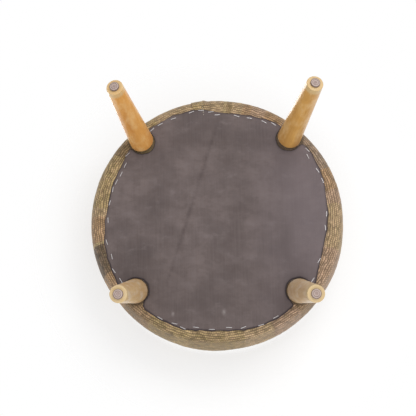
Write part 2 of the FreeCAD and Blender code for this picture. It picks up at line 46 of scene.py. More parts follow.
# The seat's section: the band runs from its turned-under edge, over the bottom roll and up the side
# to the top seam; the top panel runs from the middle of the crown over the top roll to the seam.
UNDERSIDE = 201.4
BAND_INNER = 165.75
ROLL_MIDDLE = 211.0
ROLL_RADIUS = 14.0
SIDE_MIDDLE = 30.0
SIDE_RADIUS = 200.0
WIDEST_HEIGHT = 258.0
SEAM_HEIGHT = 301.0
TOP_ROLL_MIDDLE = (201.88, 295.84)
TOP_ROLL_RADIUS = 24.0
CROWN_HEIGHT = -1152.8
CROWN_RADIUS = 1486.6
SEAT_TOP = 333.84
COVER_THICKNESS = 1.3
LIP_RADIUS = 1.9
LIP_ALLOWANCE = 2.0
# How far below and above the seam the last arc of the band and of the top panel ends
SEAM_TO_SIDE = 1.8
SEAM_TO_TOP = 2.35
# Beyond one radius lies the seat's side, and within the other only its crown and its flat underside
SIDE_FROM = 200.0
CROWN_WITHIN = 190.0

# Legs: azimuth round the seat and azimuth of the lean, in degrees
LEGS = {
    "front_left": (226.7, 223.5),
    "front_right": (312.5, 319.5),
    "back_left": (137.7, 104.0),
    "back_right": (44.0, 75.5),
}
LEG_CIRCLE = 196.05
LEG_SPLAY = 12.0
LEG_ORIGIN_HEIGHT = 203.0
NOTCH_RADIUS = 22.5
NOTCH_FLARE = 0.2
# The notch with one corner trimmed back: its leg's azimuth, and how strongly
TRIMMED_CORNER = (137.7, 0.055)

# Dust cover
DUST_RADIUS = 205.0
DUST_UNDERSIDE = 200.2
DUST_CLOTH = 0.6
DUST_HEM_INNER = 184.0
STAPLE_SKEW = 9.0
SKEW_STEP = 2.4
# Its hand-driven staples, in runs from one leg to the next: azimuth, how far the edge there
# stands out from the mean circle, and how far inside the edge the staple is
DUST_STAPLES = (
    (61.5, 7.0, 4.5), (69.5, 7.0, 3.0), (78.0, 4.5, 5.5), (85.0, 1.5, 6.5), (93.5, 1.0, 3.5),
    (101.5, 3.5, 6.5), (107.5, 7.0, 3.5), (112.0, 6.0, 5.0), (119.5, 6.5, 3.5),
    (146.5, 9.0, 8.5), (152.5, 6.5, 4.0), (159.5, 4.5, 9.0), (167.5, 2.5, 5.5), (179.0, -3.5, 6.0),
    (188.5, -7.0, 3.0), (196.0, -6.0, 4.0), (200.5, -6.0, 5.5), (205.5, -6.0, 7.5),
    (211.0, -5.5, 6.5), (216.5, -1.0, 3.0),
    (235.0, 4.0, 5.5), (240.0, 3.0, 4.0), (247.5, 5.0, 7.0), (257.5, 4.0, 4.5), (262.5, 2.5, 3.0),
    (267.5, -2.5, 3.0), (271.0, -5.5, 6.0), (281.5, -5.5, 5.0), (288.5, -3.0, 6.0),
    (296.5, 0.5, 6.5), (301.5, 3.0, 4.5),
    (323.5, 4.5, 3.0), (326.5, 4.5, 10.0), (335.5, 1.5, 5.5), (341.5, -0.5, 3.0),
    (359.5, -6.0, 3.5), (367.0, -7.0, 4.5), (385.0, -5.0, 3.0), (395.5, 6.0, 7.5),
)
STAPLE_MARKS = np.array([azimuth for azimuth, _, _ in DUST_STAPLES])
STAND_OUTS = np.array([stand_out for _, stand_out, _ in DUST_STAPLES])

# The cover's cloth: its ribs, where along the band they and the lining's swelling begin, the band's
# millimetres to a degree, and how much of the cushion's swelling the cloth follows
RIB_PITCH = 4.0
RIB_HEIGHT = 0.75
RIBS_FROM = 24.0
RIB_MEAN = 0.6
BAND_SCALE = 4.0
LINING_FROM = 48.0
SWELL_SHARE = 0.8
# Azimuths of the lapped closing seam
LAP_EDGE = 258.5
LAP_STITCHES = 263.5
LAP_PEAK = 264.6


def lattice_noise(x, y, seed, period=0):
    """Smooth noise from -1 to 1. It repeats along x after that many cells where period is set."""
    x, y = np.broadcast_arrays(np.asarray(x, float), np.asarray(y, float))
    column = np.floor(x).astype(np.int64)
    row = np.floor(y).astype(np.int64)
    fx = x - column
    fy = y - row
    fx = fx * fx * (3 - 2 * fx)
    fy = fy * fy * (3 - 2 * fy)

    def corner(i, j):
        if period:
            i = i % period
        h = (i * 374761393 + j * 668265263 + seed * 974634777) & 0xFFFFFFFF
        h = ((h ^ (h >> 13)) * 1274126177) & 0xFFFFFFFF
        h = h ^ (h >> 16)
        return (h & 0xFFFF) / 32767.5 - 1.0

    low = corner(column, row) * (1 - fx) + corner(column + 1, row) * fx
    high = corner(column, row + 1) * (1 - fx) + corner(column + 1, row + 1) * fx
    return low * (1 - fy) + high * fy


def smooth_step(value, start, end):
    t = np.clip((value - start) / (end - start), 0, 1)
    return t * t * (3 - 2 * t)


def between(value, start, full, waning, end):
    """Rises from 0 to 1 between start and full, and falls back to 0 between waning and end."""
    return smooth_step(value, start, full) * (1 - smooth_step(value, waning, end))


def hill(distance, width):
    """1 at no distance, falling off on both sides over that width."""
    return np.exp(-(distance / width) ** 2)


def polar(radius, azimuth):
    return radius * math.cos(math.radians(azimuth)), radius * math.sin(math.radians(azimuth))


def azimuth_of(x, y):
    return np.degrees(np.arctan2(y, x)) % 360


def gap_to(azimuth, mark):
    return (np.asarray(azimuth) - mark + 180) % 360 - 180


def linked(name, data):
    thing = bpy.data.objects.new(name, data)
    bpy.context.scene.collection.objects.link(thing)
    return thing


def mesh_object(name, points, faces):
    """A smooth mesh piece from points in millimetres."""
    mesh = bpy.data.meshes.new(name)
    mesh.from_pydata((np.asarray(points) * MM).tolist(), [], [list(map(int, f)) for f in faces])
    mesh.polygons.foreach_set("use_smooth", [True] * len(mesh.polygons))
    mesh.validate()
    mesh.update()
    return linked(name, mesh)


def grid_faces(rows, columns, wrap_rows=False, wrap_columns=False, start=0):
    """Quads of a grid of points that is stored row by row."""
    i = np.arange(rows if wrap_rows else rows - 1)
    j = np.arange(columns if wrap_columns else columns - 1)
    i, j = np.meshgrid(i, j, indexing="ij")
    i2 = (i + 1) % rows
    j2 = (j + 1) % columns
    quads = np.stack([i * columns + j, i * columns + j2, i2 * columns + j2, i2 * columns + j], -1)
    return quads.reshape(-1, 4) + start


def turned(r, z, columns):
    """The points of a section's radii and heights, turned round the axis in that many steps."""
    turn = np.linspace(0, 2 * math.pi, columns, endpoint=False)
    heights = np.repeat(np.asarray(z)[:, None], columns, 1)
    return np.stack([np.outer(r, np.cos(turn)), np.outer(r, np.sin(turn)), heights], -1).reshape(-1, 3)


def put_attribute(thing, name, values):
    values = np.asarray(values, np.float32)
    attribute = thing.data.attributes.new(name, "FLOAT_VECTOR", "POINT")
    attribute.data.foreach_set("vector", values.ravel())


def tree_of(points):
    tree = KDTree(len(points))
    for index, point in enumerate(points):
        tree.insert(point, index)
    tree.balance()
    return tree


# The seat's section, measured along it
SIDE_START = math.atan2(UNDERSIDE + ROLL_RADIUS - WIDEST_HEIGHT, ROLL_MIDDLE - SIDE_MIDDLE)
SIDE_END = math.asin((SEAM_HEIGHT - SEAM_TO_SIDE - WIDEST_HEIGHT) / SIDE_RADIUS)
FLAT_LENGTH = ROLL_MIDDLE - BAND_INNER
ROLL_END = FLAT_LENGTH + ROLL_RADIUS * (SIDE_START + math.pi / 2)
SIDE_LENGTH_END = ROLL_END + SIDE_RADIUS * (SIDE_END - SIDE_START)
LIP_END = SIDE_LENGTH_END + LIP_RADIUS * math.pi / 2
BAND_LENGTH = LIP_END + LIP_ALLOWANCE

CROWN_ANGLE = math.atan2(TOP_ROLL_MIDDLE[0], TOP_ROLL_MIDDLE[1] - CROWN_HEIGHT)
CROWN_LENGTH = CROWN_RADIUS * CROWN_ANGLE
TOP_ROLL_START = math.pi / 2 - CROWN_ANGLE
TOP_ROLL_END = math.asin((SEAM_HEIGHT + SEAM_TO_TOP - TOP_ROLL_MIDDLE[1]) / TOP_ROLL_RADIUS)
TOP_ROLL_LENGTH_END = CROWN_LENGTH + TOP_ROLL_RADIUS * (TOP_ROLL_START - TOP_ROLL_END)
TOP_LIP_END = TOP_ROLL_LENGTH_END + LIP_RADIUS * math.pi / 2
TOP_LENGTH = TOP_LIP_END + LIP_ALLOWANCE


def bend(line, where, middle, radius, angle):
    """Lays the chosen points of a section, with their normals, on an arc."""
    r, z, nr, nz = line
    nr[where] = np.cos(angle[where])
    nz[where] = np.sin(angle[where])
    r[where] = middle[0] + radius * nr[where]
    z[where] = middle[1] + radius * nz[where]


def turn_lip(line, past, middle, radius, end, sense):
    """Turns a section in at the seam: round the lip at the end of its last arc, and inward beyond it."""
    inner = radius - LIP_RADIUS
    lip = (middle[0] + inner * math.cos(end), middle[1] + inner * math.sin(end))
    bend(line, past > 0, lip, LIP_RADIUS, end + sense * np.minimum(past / LIP_RADIUS, math.pi / 2))
    line[0][:] -= np.maximum(past - LIP_RADIUS * math.pi / 2, 0)


def band_section(across):
    """Points (r, z) and outward normals of the side band, by the distance from its turned-under edge."""
    s = np.asarray(across, float)
    line = (BAND_INNER + s, np.full_like(s, UNDERSIDE), np.zeros_like(s), -np.ones_like(s))
    roll = (s > FLAT_LENGTH) & (s <= ROLL_END)
    roll_turn = -math.pi / 2 + (s - FLAT_LENGTH) / ROLL_RADIUS
    bend(line, roll, (ROLL_MIDDLE, UNDERSIDE + ROLL_RADIUS), ROLL_RADIUS, roll_turn)
    side = (s > ROLL_END) & (s <= SIDE_LENGTH_END)
    side_middle = (SIDE_MIDDLE, WIDEST_HEIGHT)
    bend(line, side, side_middle, SIDE_RADIUS, SIDE_START + (s - ROLL_END) / SIDE_RADIUS)
    turn_lip(line, s - SIDE_LENGTH_END, side_middle, SIDE_RADIUS, SIDE_END, 1)
    return line


def top_section(out):
    """Points (r, z) and outward normals of the top panel, by the distance from the middle of the crown."""
    s = np.asarray(out, float)
    nr = np.sin(s / CROWN_RADIUS)
    nz = np.cos(s / CROWN_RADIUS)
    line = (CROWN_RADIUS * nr, CROWN_HEIGHT + CROWN_RADIUS * nz, nr, nz)
    roll = (s > CROWN_LENGTH) & (s <= TOP_ROLL_LENGTH_END)
    roll_turn = TOP_ROLL_START - (s - CROWN_LENGTH) / TOP_ROLL_RADIUS
    bend(line, roll, TOP_ROLL_MIDDLE, TOP_ROLL_RADIUS, roll_turn)
    turn_lip(line, s - TOP_ROLL_LENGTH_END, TOP_ROLL_MIDDLE, TOP_ROLL_RADIUS, TOP_ROLL_END, -1)
    return line


# The cushion, inflated as cloth
SIM_INSET = 2.0
SIM_VOXEL = 6.0
SIM_FRAMES = 20
SIM_CAP = 6.0
SIM_CLOTH = {
    "quality": 5, "mass": 0.3, "tension_stiffness": 30, "compression_stiffness": 20, "shear_stiffness": 10,
    "bending_stiffness": 2, "use_pressure": True, "uniform_pressure_force": 4, "vertex_group_mass": "held",
}
# Where it is held: under the seat inside a radius and, outside it, close to a staple; and round the seam
HELD_DEPTH = 3.0
HELD_RADIUS = 196.0
HELD_STAPLE_GAP = 1.6
HELD_SEAM_GAP = 3.5
FIELD_ROWS = 72
FIELD_COLUMNS = 240
FIELD_LENGTH = SIDE_LENGTH_END + TOP_ROLL_LENGTH_END


def profile(place):
    """The whole section from the turned-under edge to the middle of the crown."""
    low = band_section(np.minimum(place, SIDE_LENGTH_END))
    high = top_section(np.clip(FIELD_LENGTH - place, 0, TOP_ROLL_LENGTH_END))
    return tuple(np.where(place <= SIDE_LENGTH_END, a, b) for a, b in zip(low, high))


def inset_profile(steps, depth):
    """Radii and heights of the whole section at that depth below its surface."""
    r, z, nr, nz = profile(np.linspace(0, FIELD_LENGTH, steps))
    return r - nr * depth, z - nz * depth


def lathe(name, r, z, columns, closed_loop=False):
    """A closed turned form from a section: a loop of points, or an open line whose ends lie on the axis."""
    if closed_loop:
        return mesh_object(name, turned(r, z, columns), grid_faces(len(r), columns, True, True))
    ring = turned(r[1:-1], z[1:-1], columns)
    rows = len(r) - 2
    points = np.vstack([ring, [[0, 0, z[0]], [0, 0, z[-1]]]])
    faces = grid_faces(rows, columns, False, True).tolist()
    first, last = len(ring), len(ring) + 1
    top_row = (rows - 1) * columns
    for j in range(columns):
        k = (j + 1) % columns
        faces.append([first, k, j])
        faces.append([last, top_row + j, top_row + k])
    return mesh_object(name, points, faces)


def evaluated_mesh(thing):
    graph = bpy.context.evaluated_depsgraph_get()
    return bpy.data.meshes.new_from_object(thing.evaluated_get(graph))


def vertex_vectors(mesh, name):
    values = np.zeros(len(mesh.vertices) * 3)
    mesh.vertices.foreach_get(name, values)
    return values.reshape(-1, 3)


def inflate_cushion():
    """Inflates the seat's envelope as cloth; returns where its points began and how far each one swelled."""
    r, z = inset_profile(90, SIM_INSET)
    r[-1] = 0.0
    form = lathe("cushion_form", np.append(0.0, r), np.append(UNDERSIDE + SIM_INSET, z), 128)
    remesh = form.modifiers.new("even", "REMESH")
    remesh.mode = "VOXEL"
    remesh.voxel_size = SIM_VOXEL * MM
    mesh = evaluated_mesh(form)
    form.modifiers.clear()
    form.data = mesh
    start = vertex_vectors(mesh, "co") / MM
    normals = vertex_vectors(mesh, "normal")
    x, y, height = start.T
    radius = np.hypot(x, y)
    gap = np.min(np.abs(gap_to(azimuth_of(x, y)[:, None], STAPLE_MARKS)), axis=1)
    under = height < UNDERSIDE + SIM_INSET + HELD_DEPTH
    held = under & ((radius < HELD_RADIUS) | (gap < HELD_STAPLE_GAP))
    held |= (np.abs(height - SEAM_HEIGHT) < HELD_SEAM_GAP) & (radius > SIDE_FROM)
    group = form.vertex_groups.new(name="held")
    group.add(np.flatnonzero(held).tolist(), 1.0, "REPLACE")
    cloth = form.modifiers.new("inflate", "CLOTH")
    for name, value in SIM_CLOTH.items():
        setattr(cloth.settings, name, value)
    cloth.settings.effector_weights.gravity = 0
    cloth.point_cache.frame_start = 1
    cloth.point_cache.frame_end = SIM_FRAMES
    scene = bpy.context.scene
    for step in range(1, SIM_FRAMES + 1):
        scene.frame_set(step)
    moved = vertex_vectors(evaluated_mesh(form), "co") / MM
    swell = np.clip(((moved - start) * normals).sum(1), -SIM_CAP, SIM_CAP)
    scene.frame_set(1)
    bpy.data.objects.remove(form)
    return start, swell


class SwellField:
    """How far the inflated cushion stands out from its plain section, by place along it and azimuth."""

    def __init__(self, start=None, swell=None):
        self.values = np.zeros((FIELD_ROWS, FIELD_COLUMNS))
        if start is None:
            return
        tree = tree_of(start)
        r, z = inset_profile(FIELD_ROWS, SIM_INSET)
        for j in range(FIELD_COLUMNS):
            turn = 2 * math.pi * j / FIELD_COLUMNS
            c, s = math.cos(turn), math.sin(turn)
            for i in range(FIELD_ROWS):
                near = tree.find_n((r[i] * c, r[i] * s, z[i]), 6)
                weight = [1.0 / (d * d + 4.0) for _, _, d in near]
                total = sum(w * swell[k] for w, (_, k, _) in zip(weight, near))
                self.values[i, j] = total / sum(weight)
        self.values -= self.values.mean(axis=1, keepdims=True)

    def __call__(self, place, azimuth):
        i = np.clip(np.asarray(place) / FIELD_LENGTH, 0, 1) * (FIELD_ROWS - 1)
        j = (np.asarray(azimuth) % 360) / 360 * FIELD_COLUMNS
        i0 = np.minimum(i.astype(int), FIELD_ROWS - 2)
        j0 = j.astype(int) % FIELD_COLUMNS
        j1 = (j0 + 1) % FIELD_COLUMNS
        a = i - i0
        b = j - np.floor(j)
        v = self.values
        near = v[i0, j0] * (1 - b) + v[i0, j1] * b
        far = v[i0 + 1, j0] * (1 - b) + v[i0 + 1, j1] * b
        return near * (1 - a) + far * a


swell_at = SwellField(*inflate_cushion())


# The dust cover's edge
EDGE_MARKS = np.append(STAPLE_MARKS, STAPLE_MARKS[0] + 360)
EDGE_STAND_OUTS = np.append(STAND_OUTS, STAND_OUTS[0])


def on_from_first(azimuth):
    """The azimuth, counted on from the first staple."""
    return (np.asarray(azimuth, float) - EDGE_MARKS[0]) % 360 + EDGE_MARKS[0]


def dust_edge(azimuth):
    """Radius of the cloth's edge, straight from one staple to the next."""
    return DUST_RADIUS + np.interp(on_from_first(azimuth), EDGE_MARKS, EDGE_STAND_OUTS)


def dust_outline(azimuth):
    """The pulled edge, hollow between one staple and the next, with small ravels in the fold."""
    place = on_from_first(azimuth)
    k = np.clip(np.searchsorted(EDGE_MARKS, place, side="right") - 1, 0, len(EDGE_MARKS) - 2)
    span = EDGE_MARKS[k + 1] - EDGE_MARKS[k]
    share = (place - EDGE_MARKS[k]) / span
    pull = np.minimum(0.05 * np.radians(span) * DUST_RADIUS, 2.5)
    ravel = 0.25 * lattice_noise(np.asarray(azimuth, float) / 1.5, 0.0, 5, 240)
    return dust_edge(azimuth) - pull * 4 * share * (1 - share) + ravel


# The cover's ribs and the body beneath them
def ribs(distance, along, low, more, seed):
    """The count and the height of the ribs, by the distance across them and the place along them."""
    count = distance / RIB_PITCH
    crest = np.abs(np.sin(math.pi * count)) ** 1.1
    return count, crest * (low + more * lattice_noise(along, np.floor(count), seed))


def wobble(azimuth, place):
    """Slow hand-made unevenness of the stuffed seat, in millimetres along the normal."""
    wide = lattice_noise(azimuth / 20, place / 90, 11, 18)
    small = lattice_noise(azimuth / 7.5, place / 40, 12, 48)
    return 0.9 * wide + 0.45 * small


def band_body(s, azimuth):
    """How far the band stands out from its plain section, without its ribs."""
    return wobble(azimuth, s) * between(s, 44, 70, 138, 152) + SWELL_SHARE * swell_at(s, azimuth)


def lap_relief(s, azimuth):
    """The lapped seam: a raised ply from its folded edge to the row of stitches, with a peak beyond it."""
    past = azimuth - LAP_EDGE
    stitches = LAP_STITCHES - LAP_EDGE
    ply = 1.5 * (1 - smooth_step(past, stitches + 0.5, stitches + 2.2))
    peak = 1.1 * hill(gap_to(azimuth, LAP_PEAK), 1.1) * smooth_step(s, 40, 60)
    dip = -0.7 * hill(gap_to(azimuth, LAP_STITCHES), 0.28)
    fold = -0.9 * smooth_step(past, 359.5, 360.0)
    return (ply + peak + dip + fold) * between(s, 43, 50, 146, 153)


def make_side_band():
    across = np.concatenate([np.arange(0, RIBS_FROM, 3.0),
                             np.arange(RIBS_FROM, SIDE_LENGTH_END - 0.2, RIB_PITCH / 6),
                             np.linspace(SIDE_LENGTH_END, BAND_LENGTH, 8)])
    inside = np.concatenate([np.linspace(BAND_LENGTH, SIDE_LENGTH_END, 5),
                             np.linspace(SIDE_LENGTH_END - 4, ROLL_END, 16),
                             np.linspace(ROLL_END - 2, FLAT_LENGTH, 5), np.linspace(FLAT_LENGTH - 8, 0, 6)])
    # The last column lies at the same azimuth as the first: between them stands the folded edge of the lap.
    columns = np.linspace(0, 360, 480, endpoint=False) + LAP_EDGE
    extra = [LAP_STITCHES + d for d in (-0.6, -0.35, -0.15, 0.0, 0.15, 0.35, 0.6)]
    extra += [LAP_EDGE + d for d in (0.08, 0.2, 0.4, 359.6, 359.9, 360.0)]
    turn = np.unique(np.concatenate([columns, extra]))
    r, z, nr, nz = (a[:, None] for a in band_section(np.concatenate([across, inside])))
    s = across[:, None]
    azimuth = turn[None, :]
    along = (azimuth - LAP_EDGE) * BAND_SCALE
    fade = between(s, 22, 34, SIDE_LENGTH_END - 2, SIDE_LENGTH_END + 1)
    wave = 0.95 * lattice_noise(along / 13, s / 9, 21) + 0.55 * lattice_noise(along / 5, s / 5, 22)
    wave += 1.3 * hill(s - 44, 9) * lattice_noise(along / 10, s / 20, 23)
    count, height = ribs(s + wave, along / 4.0, 0.72, 0.42, 24)
    gathers = lattice_noise(along / 8, 0.3, 25) * hill(s - 47, 9)
    pucker = lattice_noise(along / 6, 0.5, 26) * hill(s - SIDE_LENGTH_END, 6)
    out = RIB_HEIGHT * height * fade + band_body(s, azimuth) + np.maximum(gathers, -0.2) * 0.8
    out = out + lap_relief(s, azimuth) + 0.45 * pucker
    out = np.where(s < RIBS_FROM, np.minimum(out, 0.0), out)
    s = inside[:, None]
    lining = np.where(s < LINING_FROM, 0.0, band_body(s, azimuth)) - COVER_THICKNESS
    out = np.vstack([out, lining])
    radius = r + nr * out
    z = z + nz * out
    x = radius * np.cos(np.radians(turn))
    y = radius * np.sin(np.radians(turn))
    faces = grid_faces(len(out), len(turn), True, True)
    band = mesh_object("cover_band", np.stack([x, y, z], -1).reshape(-1, 3), faces[:, ::-1])
    weave = np.zeros(out.shape + (3,))
    weave[..., 0] = azimuth - LAP_EDGE
    weave[..., 1] = np.vstack([count, np.broadcast_to(s / RIB_PITCH, lining.shape)])
    weave[:len(across), :, 2] = height * fade + (1 - fade) * RIB_MEAN
    # Painted shade: the cloth is darkened where it shows between a leg and the dust cover's notch
    for leg_azimuth, _ in LEGS.values():
        leg_x, leg_y = polar(LEG_CIRCLE, leg_azimuth)
        from_leg = np.hypot(x - leg_x, y - leg_y)
        gap_shade = 1 - smooth_step(from_leg, NOTCH_RADIUS + 1.0, NOTCH_RADIUS + 7.0)
        weave[..., 2] *= 1 - 0.95 * gap_shade * (z < UNDERSIDE + 6.0)
    put_attribute(band, "weave", weave.reshape(-1, 3))
    return band


def make_top_panel():
    rows_at = np.arange(-TOP_LENGTH + 0.15, TOP_LENGTH, RIB_PITCH / 5)[:, None]
    share = np.sin(np.linspace(-1, 1, 97) * math.pi / 2 * 0.86)[None, :]
    u = share / share.max() * np.sqrt(np.maximum(TOP_LENGTH * TOP_LENGTH - rows_at * rows_at, 0.01))
    v = np.broadcast_to(rows_at, u.shape)
    rho = np.minimum(np.hypot(u, v), TOP_LENGTH)
    azimuth = azimuth_of(u, v)
    r, z, nr, nz = (a.reshape(rho.shape) for a in top_section(rho.ravel()))
    wave = 0.6 * lattice_noise(u / 14, v / 10, 31) + 0.3 * lattice_noise(u / 5, v / 5, 32)
    count, height = ribs(v + wave, u / 4.5, 0.78, 0.32, 33)
    fade = 1 - smooth_step(rho, TOP_ROLL_LENGTH_END - 2, TOP_ROLL_LENGTH_END + 1)
    place = FIELD_LENGTH - rho
    body = SWELL_SHARE * swell_at(place, azimuth) + 0.7 * lattice_noise(u / 75, v / 75, 34)
    body += wobble(azimuth, place) * between(rho, 90, 200, 218, TOP_ROLL_LENGTH_END)
    turn = np.radians(azimuth)
    pucker = lattice_noise(turn * 225 / 6, 0.5, 35) * hill(rho - TOP_ROLL_LENGTH_END, 6)
    inward = 1 - smooth_step(rho, TOP_ROLL_LENGTH_END, TOP_LIP_END)
    outs = ((RIB_HEIGHT * height * fade + body + 0.5 * pucker) * inward, body * inward - COVER_THICKNESS)
    points = [np.stack([(r + nr * out) * np.cos(turn), (r + nr * out) * np.sin(turn), z + nz * out], -1)
              for out in outs]
    rows, columns = rho.shape
    total = rows * columns
    faces = grid_faces(rows, columns).tolist()
    faces += grid_faces(rows, columns, start=total)[:, ::-1].tolist()
    index = np.arange(total).reshape(rows, columns)
    border = np.concatenate([index[0], index[1:, -1], index[-1, -2::-1], index[-2:0:-1, 0]]).tolist()
    for a, b in zip(border, border[1:] + border[:1]):
        faces.append([b, a, a + total, b + total])
    panel = mesh_object("cover_top", np.reshape(points, (-1, 3)), faces)
    weave = np.zeros((2, rows, columns, 3))
    weave[..., 0] = u
    weave[..., 1] = count
    weave[0, :, :, 2] = height * fade + (1 - fade) * RIB_MEAN
    weave[1, :, :, 2] = 0.5
    put_attribute(panel, "weave", weave.reshape(-1, 3))
    return panel


# The padding under the cover
FOAM_OFFSET = 10.1
WRAP_OUTSIDE = 2.0
WRAP_INSIDE = 9.8
WRAP_FOOT = 207.0
BOARD_TOP = 221.0
BOARD_CLEAR = 213.6
SEAM_DENT = 3.0


def layer(offset, low):
    """The section of a soft layer at that depth below the cover, from its foot up to the axis."""
    r, z, nr, nz = profile(np.linspace(FLAT_LENGTH, FIELD_LENGTH, 70))
    depth = offset + SEAM_DENT * hill(z - SEAM_HEIGHT, SEAM_DENT) * (r > SIDE_FROM)
    r = r - nr * depth
    z = z - nz * depth
    keep = (z > low) | (r < CROWN_WITHIN)
    r, z = r[keep], z[keep]
    r[-1] = 0.0
    return r, z


def make_fibre_wrap():
    outer_r, outer_z = layer(WRAP_OUTSIDE, WRAP_FOOT)
    inner_r, inner_z = layer(WRAP_INSIDE, BOARD_TOP + 1.0)
    r = np.concatenate([[BOARD_CLEAR, outer_r[0]], outer_r[:-1], [0.05, 0.05],
                        inner_r[:-1][::-1], [inner_r[0], BOARD_CLEAR]])
    z = np.concatenate([[WRAP_FOOT, WRAP_FOOT], outer_z[:-1], [outer_z[-1], inner_z[-1]],
                        inner_z[:-1][::-1], [BOARD_TOP + 0.1, BOARD_TOP + 0.1]])
    return lathe("fibre_wrap", r, z, 96, closed_loop=True)


def make_foam_block():
    r, z = layer(FOAM_OFFSET, BOARD_TOP + 1.0)
    r = np.concatenate([[0.0, r[0] - 2.0, r[0]], r])
    z = np.concatenate([[BOARD_TOP + 0.25, BOARD_TOP + 0.25, BOARD_TOP + 0.8], z])
    return lathe("foam_block", r, z, 96)


# The dust cover, and the crease of the fold that it was packed with
CREASE_START = (2.0, -172.0)
CREASE_RUN = (-94.0, 298.0)
CREASE_LENGTH = math.hypot(*CREASE_RUN)
CREASE_WAY = (CREASE_RUN[0] / CREASE_LENGTH, CREASE_RUN[1] / CREASE_LENGTH)

# Points of its mesh: the loose grid's spacing, shift and depth inside the edge, and the least gap
GRID_SPACING = 3.2
GRID_SHIFT = 0.3
GRID_INSET = 19.0
POINT_GAP = 1.9


def notch_place(x, y, leg_azimuth):
    """A point's place out from the notch's middle and along the edge beside it."""
    c, s = polar(1.0, leg_azimuth)
    return x * c + y * s - LEG_CIRCLE, y * c - x * s


def notch_half(out, beside, leg_azimuth):
    """Half the width of a notch beyond the leg's middle; one of them is trimmed back at its corner."""
    trimmed = TRIMMED_CORNER[1] if leg_azimuth == TRIMMED_CORNER[0] and beside < 0 else 0.0
    out = max(out, 0.0)
    return NOTCH_RADIUS + NOTCH_FLARE * out + trimmed * out * out


def notch_at(x, y, behind, margin):
    """The azimuth of the leg whose notch, widened by these margins, takes in a point."""
    found = None
    for leg_azimuth, _ in LEGS.values():
        out, beside = notch_place(x, y, leg_azimuth)
        gap = (math.hypot(out, beside) if out < 0 else abs(beside)) - notch_half(out, beside, leg_azimuth)
        if out > -NOTCH_RADIUS - behind and gap < margin:
            found = leg_azimuth
    return found


def notch_line(leg_azimuth, reach_in, reach_out):
    """The hand-made cut: straight in from the edge, round behind the leg, and straight out again."""
    line = []
    for out in np.arange(reach_in - 1.5, 1.0, -2.2):
        line.append((out, -notch_half(out, -1.0, leg_azimuth)))
    for angle in np.linspace(0, math.pi, 30):
        cut = NOTCH_RADIUS + (0.35 * math.sin(5 * angle) + 0.2 * math.sin(11 * angle)) * math.sin(angle)
        line.append((-cut * math.sin(angle), -cut * math.cos(angle)))
    for out in np.arange(2.2, reach_out - 1.5, 2.2):
        line.append((out, NOTCH_RADIUS + NOTCH_FLARE * out))
    c, s = polar(1.0, leg_azimuth)
    return [((LEG_CIRCLE + p) * c - q * s, (LEG_CIRCLE + p) * s + q * c) for p, q in line]


def dust_border():
    """The outline of the cloth: the pulled edge, with a cut round each leg."""
    line = []
    azimuths = np.arange(0, 360, 0.6)
    passing = None
    for azimuth, radius in zip(azimuths, dust_outline(azimuths)):
        x, y = polar(radius, azimuth)
        here = notch_at(x, y, 0.0, 0.8)
        if here is not None:
            passing = here
            continue
        if passing is not None:
            reach_in, _ = notch_place(*line[-1], passing)
            reach_out, _ = notch_place(x, y, passing)
            line += notch_line(passing, reach_in, reach_out)
            passing = None
        line.append((x, y))
    return np.array(line)


def dust_height(x, y, depth):
    """How far the cloth hangs below its plain level (positive hangs lower), from the tension in it."""
    r = np.hypot(x, y)
    azimuth = azimuth_of(x, y)
    sag = 0.9 * (1 - np.clip(r / 185, 0, 1) ** 2)
    streaks = 0.10 * lattice_noise(x / 9, y / 85, 41) + 0.35 * lattice_noise(x / 42, y / 60, 42)
    streaks += 0.28 * lattice_noise(x / 22, y / 26, 43) + 0.10 * lattice_noise(x / 8, y / 9, 44)
    total = sag + streaks * smooth_step(depth, 2, 22)
    for k, (mark, stand_out, inset) in enumerate(DUST_STAPLES):
        gap = np.radians(gap_to(azimuth, mark)) * r
        skew = math.radians(STAPLE_SKEW * math.sin(SKEW_STEP * k))
        inward = DUST_RADIUS + stand_out - inset - r
        beyond = np.maximum(inward, 0)
        across = inward * math.cos(skew) - gap * math.sin(skew)
        beside = gap * math.cos(skew) + inward * math.sin(skew)
        bite = hill(across, 1.6) * (1 - smooth_step(np.abs(beside), 4.6, 7.0))
        tug = hill(gap, 3.2) * np.exp(-np.abs(inward) / 13) * (inward > -4)
        folds = np.cos(gap / (1.4 + 0.10 * beyond)) * hill(gap, 11)
        folds = folds * smooth_step(inward, 1, 6) * np.exp(-beyond / 16)
        total = total - 0.55 * bite - 0.45 * tug + 0.35 * folds
    total = total + 0.35 * hill(depth - 9, 6)
    (ax, ay), (tx, ty) = CREASE_START, CREASE_WAY
    past = (x - ax) * tx + (y - ay) * ty
    off = (x - ax) * ty - (y - ay) * tx
    return total + 0.35 * hill(off, 4.5) * between(past, -15, 15, CREASE_LENGTH - 15, CREASE_LENGTH + 15)


# Soiled places of the dust cover (x, y, half width, half height), picked tufts (x, y, size), the
# darker band across it (y, half height, reach along x), and the legs with painted shade round them
SMUDGES = (
    (-96, 20, 16, 9), (-120, -30, 10, 26), (-84, -24, 20, 8), (-60, 92, 12, 20), (40, 96, 22, 9),
    (118, 30, 10, 30), (64, -10, 26, 14), (-20, 150, 26, 10), (86, 128, 16, 10), (10, -112, 40, 12),
    (-136, 62, 12, 14), (50, -34, 10, 24), (40, 2, 10, 26), (29, 40, 11, 26), (18, 80, 10, 24),
)
TUFTS = ((9, 172, 2.4), (-80, 174, 2.0))
DARK_BAND = (-147.0, 19.0, 118.0)
SHADE_ROUND_LEGS = (137.7, 44.0)


